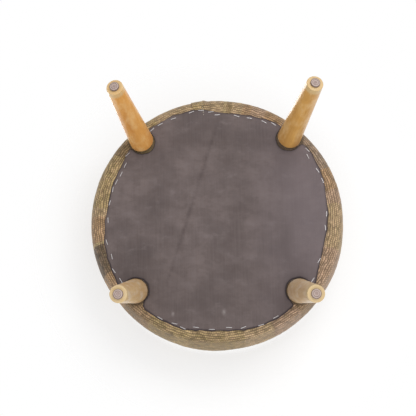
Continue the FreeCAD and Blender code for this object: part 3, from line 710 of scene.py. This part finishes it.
def dust_marks(x, y, depth):
    """Darkness (soiling, painted shade), paleness of picked tufts, violet tint with painted light, 0 to 1.
    """
    dark = np.zeros_like(x)
    for mx, my, wide, high in SMUDGES:
        dark += 0.52 * hill(x - mx, 1.3 * wide) * hill(y - my, 1.3 * high)
    middle, half, reach = DARK_BAND
    dark += 0.6 * np.exp(-np.abs((y - middle) / half) ** 3) * (1 - smooth_step(np.abs(x), reach - 25, reach))
    # Painted shade: darker towards +y
    dark += 0.45 * smooth_step(y, 30, 200)
    # Painted shade round the bases of the two near legs
    for leg_azimuth in SHADE_ROUND_LEGS:
        leg_x, leg_y = polar(LEG_CIRCLE, leg_azimuth)
        dark += 0.35 * hill(np.hypot(x - leg_x, y - leg_y), 75.0)
    dark *= 1 + 0.5 * lattice_noise(x / 14, y / 14, 51)
    # Painted shadow: a dark line along the cloth's edge
    edge = hill(depth, 2.6) * (0.95 + 0.4 * lattice_noise(azimuth_of(x, y) / 9, 0.5, 52, 40))
    dark = 0.62 * (1 - np.exp(-dark / 0.62)) + edge
    pale = np.zeros_like(x)
    for mx, my, size in TUFTS:
        pale += hill(x - mx, size) * hill(y - my, 1.8 * size)
    # The third value is a violet tint with painted light, growing towards +x
    return np.stack([np.clip(dark, 0, 1), np.clip(pale, 0, 1), smooth_step(x, 20, 170)], -1)


def dust_points(border):
    """Flat points for the cloth: its border, rows inside it, rings along the edge, and a loose grid."""
    step = np.roll(border, -1, 0) - np.roll(border, 1, 0)
    inward = np.stack([-step[:, 1], step[:, 0]], -1)
    inward /= np.linalg.norm(inward, axis=1, keepdims=True)
    points = border.tolist() + (border + inward * 0.45).tolist() + (border + inward * 1.3).tolist()
    for depth in np.arange(2.6, 17, 1.7):
        number = int(2 * math.pi * DUST_RADIUS / (1.7 if depth < 10 else 2.4))
        for azimuth in np.linspace(0, 360, number, endpoint=False):
            points.append(polar(float(dust_outline(azimuth)) - depth, azimuth))
    rng = np.random.default_rng(7)
    for i, y in enumerate(np.arange(-190, 190, GRID_SPACING * 0.866)):
        for x in np.arange(-190, 190, GRID_SPACING) + (GRID_SPACING / 2 if i % 2 else 0):
            if math.hypot(x, y) < float(dust_edge(math.degrees(math.atan2(y, x)))) - GRID_INSET:
                shift_x = rng.uniform(-GRID_SHIFT, GRID_SHIFT)
                shift_y = rng.uniform(-GRID_SHIFT, GRID_SHIFT)
                points.append((x + shift_x, y + shift_y))
    return points


def make_dust_cover():
    border = dust_border()
    count = len(border)
    tree = tree_of([(x, y, 0) for x, y in border])
    keep = []
    for k, (x, y) in enumerate(dust_points(border)):
        clear = tree.find((x, y, 0))[2] > POINT_GAP and notch_at(x, y, 2.0, POINT_GAP) is None
        if k < 3 * count or clear:
            keep.append((x, y))
    edges = [(k, (k + 1) % count) for k in range(count)]
    found = delaunay_2d_cdt([Vector(p) for p in keep], edges, [], 1, 1e-4)
    flat = np.array([[p.x, p.y] for p in found[0]])
    depth = np.array([tree.find((x, y, 0))[2] for x, y in flat])
    for k, sources in enumerate(found[3]):
        if any(source < count for source in sources):
            depth[k] = 0.0
    x, y = flat[:, 0], flat[:, 1]
    lift = np.where(depth < 0.5, 0.55 * (1 - depth / 0.5) ** 2, 0.0)
    low = DUST_UNDERSIDE - np.maximum(dust_height(x, y, depth), -0.35) + lift
    hem = 0.55 * smooth_step(np.hypot(x, y), DUST_HEM_INNER - 3, DUST_HEM_INNER + 1)
    high = np.minimum(low - lift + DUST_CLOTH + hem, UNDERSIDE - 0.05)
    high = np.where(depth < 0.5, high - 0.15 * (1 - depth / 0.5), high)
    total = len(flat)
    under = []
    above = []
    used = set()
    for f in map(list, found[2]):
        a, b, c = (flat[k] for k in f[:3])
        turn = (b[0] - a[0]) * (c[1] - a[1]) - (b[1] - a[1]) * (c[0] - a[0])
        f = f if turn > 0 else f[::-1]
        above.append([k + total for k in f])
        under.append(f[::-1])
        used.update(zip(f, f[1:] + f[:1]))
    walls = [[p, q, q + total, p + total] for p, q in sorted(used) if (q, p) not in used]
    cloth = np.vstack([np.stack([x, y, low], -1), np.stack([x, y, high], -1)])
    cover = mesh_object("dust_cover_cloth", cloth, under + above + walls)
    put_attribute(cover, "marks", np.vstack([dust_marks(x, y, depth)] * 2))
    return cover


STITCH_STEP = 4.6
STITCH_HALF = 1.5
STITCH_RISE = 1.05


def make_seam_thread():
    """Short slanting stitches that hold the lap of the band."""
    points = []
    faces = []
    sides, rings = 6, 5
    for number, s in enumerate(np.arange(30.0, SIDE_LENGTH_END - 4, STITCH_STEP)):
        section = band_section([s - STITCH_HALF, s + STITCH_HALF])
        ends = [[float(value) for value in end] for end in zip(*section)]
        start, end = (Vector((r + nr * STITCH_RISE, 0, z + nz * STITCH_RISE)) for r, z, nr, nz in ends)
        normal = Vector((ends[0][2] + ends[1][2], 0, ends[0][3] + ends[1][3])).normalized()
        side = normal.cross((end - start).normalized())
        lean = 0.12 + 0.05 * math.sin(number * 1.9)
        first = len(points)
        for ring in range(rings):
            share = ring / (rings - 1)
            middle = start.lerp(end, share) + normal * 0.45 * math.sin(math.pi * share)
            girth = 0.42 * (0.35 + 0.65 * math.sin(math.pi * (0.12 + 0.76 * share)))
            cosine, sine = polar(1.0, LAP_STITCHES + lean * (share - 0.5) * 2)
            for k in range(sides):
                angle = 2 * math.pi * k / sides
                p = middle + normal * girth * math.cos(angle) + side * girth * math.sin(angle)
                points.append((p.x * cosine - p.y * sine, p.x * sine + p.y * cosine, p.z))
        faces += grid_faces(rings, sides, False, True, first).tolist()
        faces.append([first + k for k in range(sides)])
        faces.append([first + (rings - 1) * sides + k for k in range(sides - 1, -1, -1)])
    return mesh_object("closing_seam_thread", points, faces)


# Materials
def rgb(red, green, blue):
    """A colour written as 0 to 255 screen values, as the shader's linear numbers."""
    def one(value):
        value = value / 255
        return value / 12.92 if value <= 0.04045 else ((value + 0.055) / 1.055) ** 2.4
    return one(red), one(green), one(blue), 1.0


class Nodes:
    """A node tree, with short calls that add nodes to it."""

    def __init__(self, owner):
        owner.use_nodes = True
        self.tree = owner.node_tree

    def put(self, socket, value):
        if isinstance(value, bpy.types.NodeSocket):
            self.tree.links.new(value, socket)
        else:
            socket.default_value = value

    def node(self, kind, inputs=None, **settings):
        made = self.tree.nodes.new("ShaderNode" + kind)
        for key, value in settings.items():
            setattr(made, key, value)
        for key, value in (inputs or {}).items():
            self.put(made.inputs[key], value)
        return made

    def add(self, kind, inputs=None, **settings):
        """Adds a node and gives its first output."""
        return self.node(kind, inputs, **settings).outputs[0]

    def math(self, operation, a, b=0.0):
        return self.add("Math", {0: a, 1: b}, operation=operation)

    def times(self, a, b):
        return self.math("MULTIPLY", a, b)

    def plus(self, a, b):
        return self.math("ADD", a, b)

    def apart(self, value, mark):
        return self.math("ABSOLUTE", self.math("SUBTRACT", value, mark))

    def spread(self, value, low, high, to_low=0.0, to_high=1.0):
        return self.add("MapRange", {0: value, 1: low, 2: high, 3: to_low, 4: to_high})

    def vector(self, x, y, z=0.0):
        return self.add("CombineXYZ", {0: x, 1: y, 2: z})

    def scaled(self, vector, scale):
        return self.add("VectorMath", {0: vector, 1: scale}, operation="MULTIPLY")

    def measure(self, operation, a, b=(0.0, 0.0, 0.0)):
        """A number from two vectors, such as their dot product or their distance."""
        return self.node("VectorMath", {0: a, 1: b}, operation=operation).outputs["Value"]

    def object_place(self):
        return self.node("TexCoord").outputs["Object"]

    def seen_rays(self):
        """1 for the rays that look straight, through or by a mirror at a surface, 0 for the others."""
        rays = self.node("LightPath").outputs
        direct = self.math("MAXIMUM", rays["Is Camera Ray"], rays["Is Transmission Ray"])
        return self.math("MAXIMUM", direct, rays["Is Glossy Ray"])


class Shader(Nodes):
    """A material with one Principled surface."""

    def __init__(self, name):
        self.material = bpy.data.materials.new(name)
        super().__init__(self.material)
        self.surface = next(n for n in self.tree.nodes if n.type == "BSDF_PRINCIPLED")

    def mix(self, factor, a, b, blend="MIX"):
        return self.node("Mix", {0: factor, 6: a, 7: b}, data_type="RGBA", blend_type=blend).outputs[2]

    def layered(self, colour, *layers):
        """A colour under thin layers, each with its value, start and end, strength and own colour."""
        for value, start, end, strength, tint in layers:
            colour = self.mix(self.spread(value, start, end, 0.0, strength), colour, tint)
        return colour

    def noise(self, place, scale, detail=2.0, rough=0.5):
        """Noise at a scale that may be given for each direction."""
        if isinstance(scale, tuple):
            place = self.scaled(place, scale)
            scale = 1.0
        return self.add("TexNoise", {"Vector": place, "Scale": scale, "Detail": detail, "Roughness": rough})

    def attribute(self, name):
        vector = self.node("Attribute", attribute_name=name).outputs["Vector"]
        return self.node("SeparateXYZ", {0: vector}).outputs

    def blocks(self, factor, stops):
        """Blocks of plain colour, each from its own place on."""
        made = self.node("ValToRGB", {0: factor})
        ramp = made.color_ramp
        ramp.interpolation = "CONSTANT"
        while len(ramp.elements) < len(stops):
            ramp.elements.new(1.0)
        for element, (position, colour) in zip(ramp.elements, stops):
            element.position = position
            element.color = colour
        return made.outputs[0]

    def finish(self, colour, roughness, relief, strength, distance, **fixed):
        bump = self.add("Bump", {"Height": relief, "Strength": strength, "Distance": distance})
        for name, value in {"Base_Color": colour, "Roughness": roughness, "Normal": bump, **fixed}.items():
            self.put(self.surface.inputs[name.replace("_", " ")], value)
        return self.material


PLY_THICKNESS = 0.0026
PALE_RINGS = (0.0036, 0.0060)
# Heights along a leg, from its top: where its foot is rubbed pale, and where its top is darker
FOOT_RUBBED = (-0.188, -0.1935)
TOP_DARKER = (-0.020, -0.010)

# Yarns of the space-dyed plaid, the pitch of the threads that cross it, and how ragged a block's edge is
YARN = {
    "olive": rgb(198, 173, 118),
    "moss": rgb(176, 153, 104),
    "dark_olive": rgb(152, 130, 88),
    "tan": rgb(206, 178, 136),
    "orange": rgb(194, 155, 114),
    "brown": rgb(160, 131, 98),
    "charcoal": rgb(64, 57, 53),
    "mauve": rgb(164, 144, 128),
    "yellow": rgb(222, 198, 142),
    "pinkish": rgb(202, 168, 142),
}
THREAD_PITCH = 2.1
RAGGED_EDGE = 1.4

# Colour blocks round the band, in degrees of azimuth on from the lap's folded edge, each with its yarn
BAND_BLOCKS = (
    (0.0, "olive"), (4.8, "tan"), (14.9, "yellow"), (16.2, "dark_olive"), (19.5, "tan"),
    (24.5, "orange"), (28.7, "pinkish"), (35.5, "orange"), (46.3, "mauve"), (76.5, "orange"),
    (88.0, "pinkish"), (95.0, "tan"), (103.0, "yellow"), (103.8, "tan"), (118.0, "pinkish"),
    (136.3, "brown"), (150.6, "pinkish"), (165.0, "tan"), (179.8, "moss"), (205.0, "olive"),
    (212.0, "moss"), (224.0, "brown"), (238.3, "orange"), (253.6, "charcoal"), (268.5, "yellow"),
    (269.3, "orange"), (281.3, "yellow"), (282.0, "tan"), (286.0, "olive"), (315.0, "dark_olive"),
    (322.5, "olive"), (340.0, "tan"),
)
TOP_BLOCKS = (
    (0.0, "olive"), (60.0, "tan"), (92.0, "charcoal"), (118.0, "orange"), (150.0, "olive"),
    (198.0, "mauve"), (232.0, "brown"), (262.0, "yellow"), (266.0, "tan"), (300.0, "olive"),
    (338.0, "dark_olive"), (352.0, "orange"), (392.0, "brown"), (420.0, "tan"), (450.0, "olive"),
)


def woven_material(name, blocks, length, offset, per_unit):
    """Corded space-dyed cloth. The weave attribute holds place along the ribs, rib count, and rib height."""
    shade = Shader(name)
    along, rib_count, height = shade.attribute("weave")
    rib = shade.math("FLOOR", rib_count)
    ragged = shade.noise(shade.vector(shade.times(along, per_unit / 6), shade.times(rib, 7.31)), 1.0)
    reach = RAGGED_EDGE / per_unit
    shifted = shade.plus(along, shade.spread(ragged, 0.3, 0.7, offset - reach, offset + reach))
    colour = shade.blocks(shade.math("DIVIDE", shifted, length),
                          [(start / length, YARN[yarn]) for start, yarn in blocks])
    # Each rib's yarn differs a little, and so do lengths of it
    piece = shade.vector(shade.math("FLOOR", shade.times(along, per_unit / 9)), rib)
    yarn = shade.add("TexWhiteNoise", {"Vector": piece}, noise_dimensions="2D")
    slub = shade.noise(shade.vector(shade.times(along, per_unit / 11), rib), (1.0, 3.7, 1.0), 3.0, 0.6)
    colour = shade.layered(
        colour,
        (slub, 0.42, 0.7, 0.75, YARN["brown"]),
        (slub, 0.42, 0.22, 0.55, YARN["yellow"]),
        (yarn, 0.0, 1.0, 0.30, YARN["pinkish"]),
    )
    # Crossing threads bind the ribs
    turn = per_unit * 2 * math.pi / THREAD_PITCH
    thread = shade.math("SINE", shade.times(along, turn))
    binding = shade.math("SINE", shade.plus(shade.times(along, turn / 2), shade.times(rib, math.pi)))
    # Painted shade: darker down in the hollows between the ribs, and where the height is lowered by the legs
    dark = shade.spread(height, 0.1, 0.72, 0.28, 1.05)
    dark = shade.times(dark, shade.spread(binding, -1.0, 0.2, 0.62, 1.0))
    dark = shade.times(dark, shade.spread(thread, -1.0, 1.0, 0.93, 1.05))
    dark = shade.times(dark, shade.spread(yarn, 0.0, 1.0, 0.78, 1.12))
    colour = shade.mix(1.0, colour, shade.vector(dark, dark, dark), "MULTIPLY")
    fuzz = shade.noise(shade.object_place(), 2600.0, 3.0, 0.7)
    colour = shade.layered(colour, (fuzz, 0.35, 0.75, 0.22, YARN["tan"]))
    relief = shade.plus(shade.times(thread, 0.35), shade.times(fuzz, 1.2))
    relief = shade.plus(relief, shade.times(binding, 0.5))
    return shade.finish(colour, shade.spread(fuzz, 0.2, 0.8, 0.78, 0.95), relief, 0.55, 0.00022,
                        Sheen_Weight=0.25, Sheen_Roughness=0.5, Specular_IOR_Level=0.25)


def dust_material():
    """Thin greyish cambric, soiled; the marks hold darkness and painted shade, paleness, violet and painted
    light.
    """
    shade = Shader("dust_cambric")
    place = shade.object_place()
    dark, pale, violet_and_light = shade.attribute("marks")
    streak = shade.noise(place, (330.0, 12.0, 40.0), 3.0, 0.6)
    felt = shade.noise(place, 620.0, 4.0, 0.7)
    cloud = shade.noise(place, 11.0, 4.0, 0.62)
    patch = shade.noise(place, (30.0, 46.0, 30.0), 4.0, 0.65)
    # Painted shade: a darker line along the crease of the fold
    (ax, ay), (tx, ty) = CREASE_START, CREASE_WAY
    off = shade.apart(shade.measure("DOT_PRODUCT", place, (ty, -tx, 0.0)), (ax * ty - ay * tx) * MM)
    past = shade.measure("DOT_PRODUCT", place, (tx, ty, 0.0))
    past = shade.math("SUBTRACT", past, (ax * tx + ay * ty) * MM)
    line = shade.times(shade.spread(off, 0.0055, 0.0005), shade.spread(past, -0.02, 0.02))
    line = shade.times(line, shade.spread(patch, 0.35, 0.62, 0.25, 1.0))
    line = shade.times(line, shade.spread(past, (CREASE_LENGTH + 20) * MM, (CREASE_LENGTH - 20) * MM))
    colour = shade.layered(
        rgb(95, 85, 84),
        (cloud, 0.34, 0.66, 1.0, rgb(119, 107, 105)),
        (patch, 0.48, 0.60, 0.55, rgb(96, 85, 83)),
        (patch, 0.44, 0.32, 0.55, rgb(123, 112, 111)),
        # Violet tint with painted light towards +x
        (violet_and_light, 0.0, 1.0, 0.55, rgb(124, 113, 117)),
        # Darkness: soiling and painted shade; its darkest, bluish part is the painted shadow along the
        # cloth's edge
        (dark, 0.0, 1.0, 0.6, rgb(76, 66, 64)),
        (dark, 0.64, 1.0, 0.85, rgb(44, 38, 44)),
        (streak, 0.35, 0.7, 0.10, rgb(142, 132, 130)),
        (felt, 0.35, 0.75, 0.22, rgb(92, 82, 80)),
        (line, 0.0, 1.0, 0.45, rgb(76, 66, 65)),
        (pale, 0.0, 1.0, 0.55, rgb(166, 158, 156)),
    )
    relief = shade.plus(shade.times(streak, 0.5), felt)
    return shade.finish(colour, shade.spread(felt, 0.3, 0.7, 0.92, 0.8), relief, 0.5, 0.0002,
                        Specular_IOR_Level=0.2)


def wood_material(name, azimuth, lean, light, dark, painted_sheen_and_wear, seed):
    """Lacquered maple with its grain along the leg, paler at the rubbed foot, with a mottled painted sheen.
    """
    shade = Shader(name)
    x, y = polar(LEG_CIRCLE, azimuth)
    axis = Vector((math.sin(math.radians(lean)), -math.cos(math.radians(lean)), 0))
    local = shade.add("Mapping", {"Vector": shade.object_place(),
                                  "Location": (x * MM, y * MM, LEG_ORIGIN_HEIGHT * MM),
                                  "Rotation": Matrix.Rotation(math.radians(LEG_SPLAY), 3, axis).to_euler()},
                      vector_type="TEXTURE")
    shifted = shade.add("VectorMath", {0: local, 1: (seed * 0.37, seed * 0.21, seed * 0.5)}, operation="ADD")
    grain = shade.noise(shifted, (330.0, 330.0, 11.0), 4.0, 0.6)
    figure = shade.noise(shifted, (60.0, 22.0, 6.0), 3.0, 0.5)
    pores = shade.noise(shifted, (1500.0, 1500.0, 90.0), 2.0, 0.6)
    mottle = shade.noise(shifted, (70.0, 70.0, 30.0), 4.0, 0.65)
    height = shade.node("SeparateXYZ", {0: local}).outputs[2]
    rubbed = shade.times(shade.spread(height, *FOOT_RUBBED), shade.spread(grain, 0.3, 0.6, 0.6, 1.0))
    colour = shade.layered(
        light,
        (figure, 0.3, 0.7, 1.0, dark),
        (grain, 0.42, 0.75, 0.45, dark),
        # Painted sheen: pale mottling for reflected light, with pale worn lacquer too
        (mottle, 0.48, 0.66, 0.5, painted_sheen_and_wear),
        (mottle, 0.46, 0.32, 0.35, dark),
        (pores, 0.62, 0.8, 0.3, rgb(130, 88, 52)),
        (rubbed, 0.0, 1.0, 0.75, rgb(218, 192, 142)),
        (height, *TOP_DARKER, 0.2, rgb(150, 98, 56)),
    )
    return shade.finish(colour, shade.spread(figure, 0.3, 0.7, 0.42, 0.52), grain, 0.12, 0.0002,
                        Specular_IOR_Level=0.35, Coat_Weight=0.35, Coat_Roughness=0.25)


def metal_material(name, colour, roughness):
    shade = Shader(name)
    marks = shade.noise(shade.object_place(), 900.0, 3.0, 0.6)
    duller = tuple(0.72 * c for c in colour[:3]) + (1.0,)
    colour = shade.layered(colour, (marks, 0.35, 0.7, 1.0, duller))
    rough = shade.spread(marks, 0.3, 0.7, roughness, roughness + 0.2)
    return shade.finish(colour, rough, marks, 0.15, 0.0001, Metallic=1.0)


def glide_material(name, middle):
    """Smoky nylon, paler in two rings round its nail and dark at its rim."""
    shade = Shader(name)
    place = shade.object_place()
    flat_place = shade.scaled(place, (1.0, 1.0, 0.0))
    from_nail = shade.measure("DISTANCE", flat_place, (middle[0], middle[1], 0.0))
    speck = shade.noise(place, 1400.0, 3.0, 0.6)
    cloud = shade.noise(place, 260.0, 2.0, 0.5)
    pale_rings = [(shade.apart(from_nail, ring), 0.0007, 0.0002, 0.8, rgb(206, 190, 180)) for ring in PALE_RINGS]
    colour = shade.layered(
        rgb(152, 130, 123),
        (cloud, 0.3, 0.7, 1.0, rgb(174, 152, 143)),
        *pale_rings,
        (from_nail, 0.0068, 0.0078, 0.7, rgb(84, 68, 68)),
        (speck, 0.6, 0.8, 0.4, rgb(98, 80, 78)),
    )
    return shade.finish(colour, shade.spread(speck, 0.3, 0.7, 0.45, 0.62), speck, 0.25, 0.0001)


def plywood_material():
    shade = Shader("board_plywood")
    place = shade.object_place()
    height = shade.node("SeparateXYZ", {0: place}).outputs[2]
    parity = shade.math("MODULO", shade.math("FLOOR", shade.math("DIVIDE", height, PLY_THICKNESS)), 2.0)
    grain = shade.noise(place, (14.0, 260.0, 300.0), 4.0, 0.6)
    colour = shade.layered(
        rgb(212, 186, 146),
        (parity, 0.0, 1.0, 0.5, rgb(178, 146, 104)),
        (grain, 0.45, 0.75, 0.5, rgb(150, 118, 80)),
    )
    return shade.finish(colour, shade.spread(grain, 0.3, 0.7, 0.62, 0.8), grain, 0.25, 0.0003)


def soft_material(name, light, dark, scale):
    shade = Shader(name)
    cells = shade.noise(shade.object_place(), scale, 4.0, 0.65)
    colour = shade.layered(dark, (cells, 0.3, 0.7, 1.0, light))
    return shade.finish(colour, shade.spread(cells, 0.3, 0.7, 0.85, 0.98), cells, 0.6, 0.0008)


def thread_material():
    shade = Shader("pale_thread")
    twist = shade.noise(shade.scaled(shade.object_place(), (1.0, 1.0, 3.0)), 900.0, 2.0, 0.5)
    colour = shade.layered(rgb(214, 206, 190), (twist, 0.35, 0.65, 1.0, rgb(184, 172, 150)))
    return shade.finish(colour, shade.spread(twist, 0.3, 0.7, 0.6, 0.8), twist, 0.4, 0.0002)


def place_piece(thing, material, slot, *nodes):
    thing.data.materials.clear()
    thing.data.materials.append(material)
    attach(thing, "root")
    if nodes:
        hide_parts(*nodes)
    return thing


# Pieces that the script makes
band_cloth = woven_material("corded_cloth_band", BAND_BLOCKS, 360.0, 0.0, BAND_SCALE)
top_cloth = woven_material("corded_cloth_top", TOP_BLOCKS, 480.0, 240.0, 1.0)
fibre = soft_material("fibre_wrap", rgb(238, 238, 232), rgb(214, 214, 206), 160.0)
cells = soft_material("foam_cells", rgb(232, 216, 160), rgb(206, 186, 124), 700.0)
band = place_piece(make_side_band(), band_cloth, "cover_fabric", "cover_side_band")
top = place_piece(make_top_panel(), top_cloth, "cover_fabric", "cover_top_panel")
wrap = place_piece(make_fibre_wrap(), fibre, "fibre_batting", "batting")
foam = place_piece(make_foam_block(), cells, "foam", "foam_core")
dust = place_piece(make_dust_cover(), dust_material(), "dust_cloth", "dust_cover")
thread = place_piece(make_seam_thread(), thread_material(), "cover_fabric")

# Frame nodes that stay. Each leg has its own wood and painted sheen; the back legs' paler tone is painted
# reflection
WOODS_AND_SHEEN = {
    "front_left": (rgb(242, 181, 98), rgb(212, 147, 72), rgb(246, 204, 142), 1),
    "front_right": (rgb(228, 175, 94), rgb(192, 141, 74), rgb(238, 200, 144), 2),
    "back_left": (rgb(222, 190, 140), rgb(194, 152, 100), rgb(232, 220, 202), 3),
    "back_right": (rgb(222, 194, 150), rgb(192, 154, 110), rgb(230, 216, 198), 4),
}


def dress(node, material):
    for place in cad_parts[node].material_slots:
        place.material = material


zinc = metal_material("zinc_plate", rgb(196, 198, 202), 0.32)
for corner, (azimuth, lean) in LEGS.items():
    dress("leg_" + corner, wood_material("maple_" + corner, azimuth, lean, *WOODS_AND_SHEEN[corner]))
    for part in ("hanger_bolt_", "tee_nut_", "glide_nail_"):
        dress(part + corner, zinc)
    middle = np.array(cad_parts["glide_" + corner].bound_box).mean(0).tolist()
    dress("glide_" + corner, glide_material("nylon_" + corner, middle))
dress("seat_board", plywood_material())
dress("dust_cover_staples", metal_material("staple_wire", rgb(192, 188, 189), 0.45))
# Darker wire for the band's staples: painted shade under the dust cloth, and dust on them
dress("band_staples", metal_material("shaded_dusty_staple_wire", rgb(112, 106, 104), 0.6))

# Stage, light and camera
FLOOR_LIT = 0.50
FLOOR_LIFT = 0.53
FLOOR_RINGS = 24
FLOOR_SECTORS = 96
WORLD_LIGHT = 0.72
SEAT_MIDDLE = (0.0, 0.0, 0.22)
LAMP_SIZE = 1.5
LAMP_COLOUR = (1.0, 0.985, 0.96)


def floor_material(name, fade_in, fade_out):
    """Pale and one-sided, so it can't be seen from behind; looked at, it is lifted to white, shadow kept."""
    material = bpy.data.materials.new(name)
    shade = Nodes(material)
    shade.tree.nodes.clear()
    plain = shade.add("BsdfDiffuse", {"Color": (0.8, 0.8, 0.8, 1)})
    shown = shade.add("BsdfDiffuse", {"Color": (FLOOR_LIT, FLOOR_LIT, FLOOR_LIT, 1)})
    glow = shade.add("Emission", {"Strength": FLOOR_LIFT})
    lifted = shade.add("AddShader", {0: shown, 1: glow})
    by_ray = shade.add("MixShader", {0: shade.seen_rays(), 1: plain, 2: lifted})
    radius = shade.measure("LENGTH", shade.scaled(shade.object_place(), (1, 1, 0)))
    hidden = shade.node("NewGeometry").outputs["Backfacing"]
    for start, end in (fade_in[::-1], fade_out):
        edge = shade.add("MapRange", {0: radius, 1: start, 2: end}, interpolation_type="SMOOTHSTEP")
        hidden = shade.math("MAXIMUM", hidden, edge)
    by_side = shade.add("MixShader", {0: hidden, 1: by_ray, 2: shade.add("BsdfTransparent")})
    shade.node("OutputMaterial", {"Surface": by_side})
    return material


def make_floor(name, radius, height, facing, fade_in, fade_out):
    """A round floor that faces up or down, built from rings."""
    points = turned(np.linspace(0.02, 1, FLOOR_RINGS) * radius, np.full(FLOOR_RINGS, height), FLOOR_SECTORS)
    faces = grid_faces(FLOOR_RINGS, FLOOR_SECTORS, False, True).tolist()
    faces.append(list(range(FLOOR_SECTORS - 1, -1, -1)))
    floor = mesh_object(name, points, [f[::-1] for f in faces] if facing > 0 else faces)
    floor.data.materials.append(floor_material(name, fade_in, fade_out))
    floor.visible_diffuse = False
    floor.visible_glossy = False
    floor.visible_shadow = False


def set_world(strength):
    """Soft light from all round, and plain white where it is looked at."""
    world = bpy.data.worlds.new("studio")
    bpy.context.scene.world = world
    shade = Nodes(world)
    shade.tree.nodes.clear()
    soft = shade.add("Background", {"Color": (0.97, 0.98, 1.0, 1), "Strength": strength})
    white = shade.add("Background", {"Color": (1, 1, 1, 1), "Strength": 1.0})
    mixed = shade.add("MixShader", {0: shade.seen_rays(), 1: soft, 2: white})
    shade.node("OutputWorld", {"Surface": mixed})


def soft_light(name, place, power):
    data = bpy.data.lights.new(name, "AREA")
    data.shape = "SQUARE"
    data.size = LAMP_SIZE
    data.energy = power
    data.color = LAMP_COLOUR
    lamp = linked(name, data)
    lamp.location = place
    lamp.rotation_euler = (Vector(SEAT_MIDDLE) - Vector(place)).to_track_quat("-Z", "Y").to_euler()
    lamp.visible_camera = False


# The seat lies on the ground in the picture, so one floor meets its crown and faces down; the other
# is under the feet.
make_floor("ground_under_seat", 600.0, SEAT_TOP + 1.6, -1, (0.215, 0.235), (0.27, 0.42))
make_floor("floor_under_feet", 2600.0, -0.05, 1, (-2.0, -1.0), (0.9, 2.2))
set_world(WORLD_LIGHT)
soft_light("window_below", (0.9, -1.0, -1.7), 18.0)
soft_light("window_front", (0.3, 1.7, -0.9), 9.5)
soft_light("window_above", (-1.2, -1.3, 2.2), 24.0)

# The camera looks steeply up at the underside from below the feet
CAMERA_PLACE = Vector((0.00321, 0.44011, -1.48206))
CAMERA_AIM = Vector((-0.01630, -0.01648, 0.20140))
CAMERA_ROLL = math.radians(-0.786)
CAMERA_LENS = 84.115
camera_data = bpy.data.cameras.new("photo_camera")
camera_data.sensor_width = 36.0
camera_data.lens = CAMERA_LENS
camera_data.clip_end = 50.0
camera = linked("photo_camera", camera_data)
forward = (CAMERA_AIM - CAMERA_PLACE).normalized()
across = forward.cross(Vector((0, -1, 0))).normalized()
upward = across.cross(forward)
right = across * math.cos(CAMERA_ROLL) + upward * math.sin(CAMERA_ROLL)
upright = upward * math.cos(CAMERA_ROLL) - across * math.sin(CAMERA_ROLL)
camera.rotation_euler = Matrix((right, upright, -forward)).transposed().to_euler()
camera.location = CAMERA_PLACE
bpy.context.scene.camera = camera
bpy.context.scene.view_settings.view_transform = "Standard"
